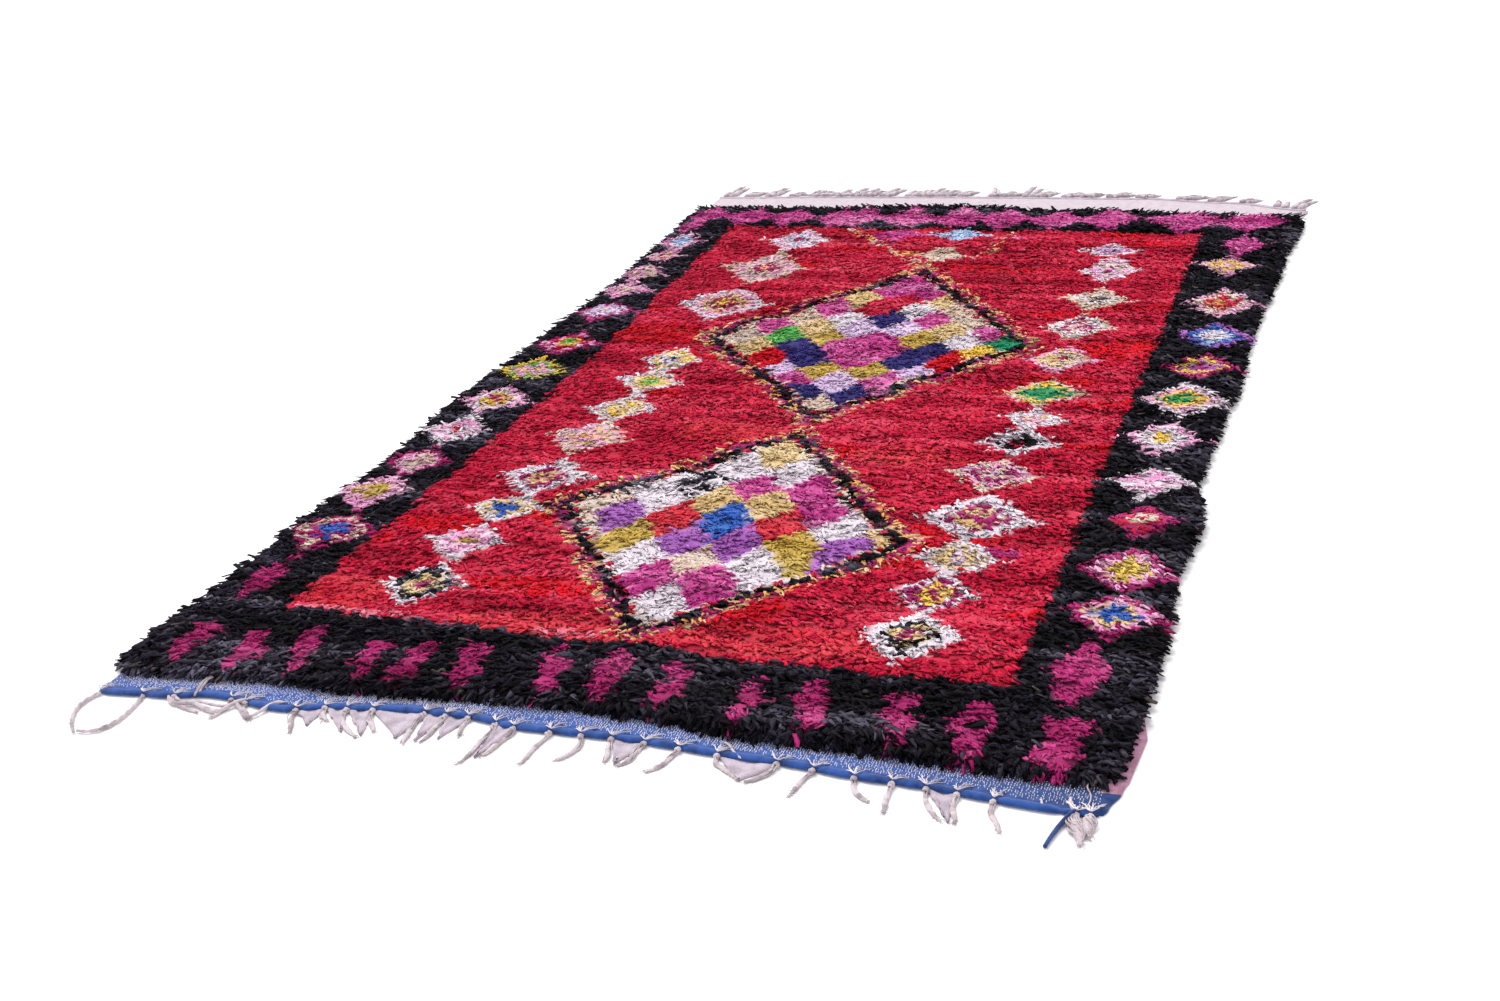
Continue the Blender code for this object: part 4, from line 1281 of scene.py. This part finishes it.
def foot_web(route, dice):
    """The haze of warp at a far tassel's foot: a thin closed cloth that narrows along the tassel."""
    rows, columns = 7, 9
    across = np.linspace(-1.0, 1.0, columns)[None, :]
    down = np.linspace(0.0, 1.0, rows)[:, None]
    station = (down[:, 0] * 15).astype(int)
    half = (0.017 + dice.uniform(-0.003, 0.003)) * (1 - 0.86 * down**0.8)
    place = route[station][:, None, :] + np.stack([across * half, np.zeros((rows, columns))], axis=-1)
    place = place + dice.normal(0.0, 0.0010, place.shape) * np.minimum(down * 4, 1.0)[..., None]
    middle = 0.0026 + 0.0022 * (1 - across**2) * (1 - 0.4 * down) + dice.normal(0.0, 0.0003, (rows, columns))
    return grid_sheet(place[..., 0], place[..., 1], middle + 0.0005, middle - 0.0005)


def make_webs(material):
    """Webs of matted warp: between some of the near tassels, and at the foot of each far one."""
    dice = np.random.default_rng(41)
    routes = {s.root: strand_route(s, BAND_NEAR, 22) for s in NEAR_STRANDS}
    near_parts = [gauze_web(routes[first], routes[second], dice) for first, second in WEBS]
    far_parts = [foot_web(strand_route(s, BAND_FAR, 22), dice) for s in FAR_STRANDS]
    return [add_joined("near_webs", near_parts, material), add_joined("far_webs", far_parts, material)]


def yarn_route(spots, stations):
    """A smooth line through a few spots, by halving corners again and again, with even stations."""
    line = np.array(spots, dtype=float)
    for _ in range(3):
        middles = (line[:-1] * 0.25 + line[1:] * 0.75)[:-1]
        starts = (line[:-1] * 0.75 + line[1:] * 0.25)[1:]
        between = np.stack([middles, starts], axis=1).reshape(-1, line.shape[1])
        line = np.concatenate([line[:1], between, line[-1:]])
    run = run_along(line)
    even = np.linspace(0.0, run[-1], stations)
    return np.column_stack([np.interp(even, run, column) for column in line.T])


def make_loose_yarns(material):
    """The folded and the knotted yarns that lie along the near band, and its stray threads."""
    dice = np.random.default_rng(43)
    parts = []
    stations = 30
    share = np.linspace(0.0, 1.0, stations)
    ends = np.clip(np.minimum(share, 1 - share) / 0.06, 0.45, 1.0)
    for spots, half in LOOSE_YARNS:
        route = yarn_route(spots, stations)
        thick = half * ends * (1 + 0.09 * dice.normal(0.0, 1.0, stations))
        route[:, 2] = np.maximum(route[:, 2], thick + 0.0003)
        parts.append(tubes(route[None], thick[None], thick[None] * 0.85, 8))
    return add_joined("loose_yarns", parts, material)


def make_weft_end(material):
    """The loose end of the blue weft yarn: smooth and stiff, with a cut tip."""
    stations = 26
    route = yarn_route(BLUE_END, stations)
    thick = np.linspace(0.0037, 0.0025, stations)
    rise = 0.0030 * np.exp(-(np.linspace(0.0, 4.0, stations) ** 2))
    path = np.column_stack([route, thick + 0.0004 + rise])
    part = tubes(path[None], thick[None], thick[None], 10)
    return add_joined("blue_weft_end", [part], material, "ground_cloth")


# The scene


def make_stage():
    """A plain pale floor, soft light from all round and from above, and the camera."""
    bpy.ops.mesh.primitive_plane_add(size=FLOOR_SIZE, location=(0.0, 0.0, FLOOR_HEIGHT))
    floor = bpy.context.object
    floor.name = "floor"
    nodes = Nodes("pale_floor")
    nodes.shader.inputs["Base Color"].default_value = (FLOOR_GREY, FLOOR_GREY, FLOOR_GREY, 1.0)
    nodes.shader.inputs["Roughness"].default_value = 0.9
    nodes.shader.inputs["Specular IOR Level"].default_value = 0.1
    floor.data.materials.append(nodes.material)
    world = bpy.data.worlds.new("studio")
    world.use_nodes = True
    sky = world.node_tree.nodes["Background"]
    sky.inputs["Color"].default_value = SKY_COLOUR
    sky.inputs["Strength"].default_value = SKY_STRENGTH
    bpy.context.scene.world = world
    lamp = bpy.data.lights.new("overhead", "SUN")
    lamp.energy = LAMP_STRENGTH
    lamp.angle = LAMP_ANGLE
    overhead = bpy.data.objects.new("overhead", lamp)
    overhead.rotation_euler = (-LIGHT_FROM).to_track_quat("-Z", "Y").to_euler()
    bpy.context.scene.collection.objects.link(overhead)
    camera_data = bpy.data.cameras.new("camera")
    camera_data.lens = CAMERA_LENS_MM
    camera_data.sensor_width = SENSOR_WIDTH_MM
    camera_data.sensor_fit = "HORIZONTAL"
    camera_data.clip_end = 200.0
    camera = bpy.data.objects.new("camera", camera_data)
    heading = Matrix.Rotation(CAMERA_HEADING, 4, "Z")
    tilt = Matrix.Rotation(math.pi / 2 - CAMERA_TILT_DOWN, 4, "X")
    roll = Matrix.Rotation(CAMERA_ROLL, 4, "Z")
    camera.matrix_world = Matrix.Translation(CAMERA_PLACE + SHIFT) @ heading @ tilt @ roll
    bpy.context.scene.collection.objects.link(camera)
    bpy.context.scene.camera = camera
    bpy.context.scene.view_settings.view_transform = "Standard"


def main():
    """Dress the rug."""
    make_stage()
    blue = woven_material("blue_weave", "#284D98", "#4068B6", 120.0, shade_right=0.55)
    pink = woven_material("pink_weave", "#A8708C", "#C994AE", 120.0)
    pale = woven_material("pale_weave", "#C0B1BA", "#D8CBD3", 90.0)
    yarn = yarn_material("warp_yarn", "#A6989E", "#D3C7CB")
    blue_yarn = yarn_material("blue_yarn", "#1B3872", "#2C529A", 190.0)
    locks = make_pile()
    roots = make_pile_base()
    ground, area = make_ground([pink, blue, pale])
    dice = np.random.default_rng(31)
    fringes = [
        make_strands("near_tassels", NEAR_STRANDS, BAND_NEAR, False, yarn, "near_fringe", dice),
        make_strands("far_tassels", FAR_STRANDS, BAND_FAR, True, yarn, "far_fringe", dice),
    ]
    gauze = yarn_material("gauze", "#AA9CA8", "#C4B7C3")
    trims = [
        make_warps(yarn_material("bright_yarn", "#DCD2DC", "#F0EAF0")),
        make_roll(blue_yarn),
        make_far_roll(gauze),
        make_weft_end(yarn_material("navy_yarn", "#1C3166", "#2F4A8C")),
        *make_webs(gauze),
        make_loose_yarns(yarn),
    ]


main()
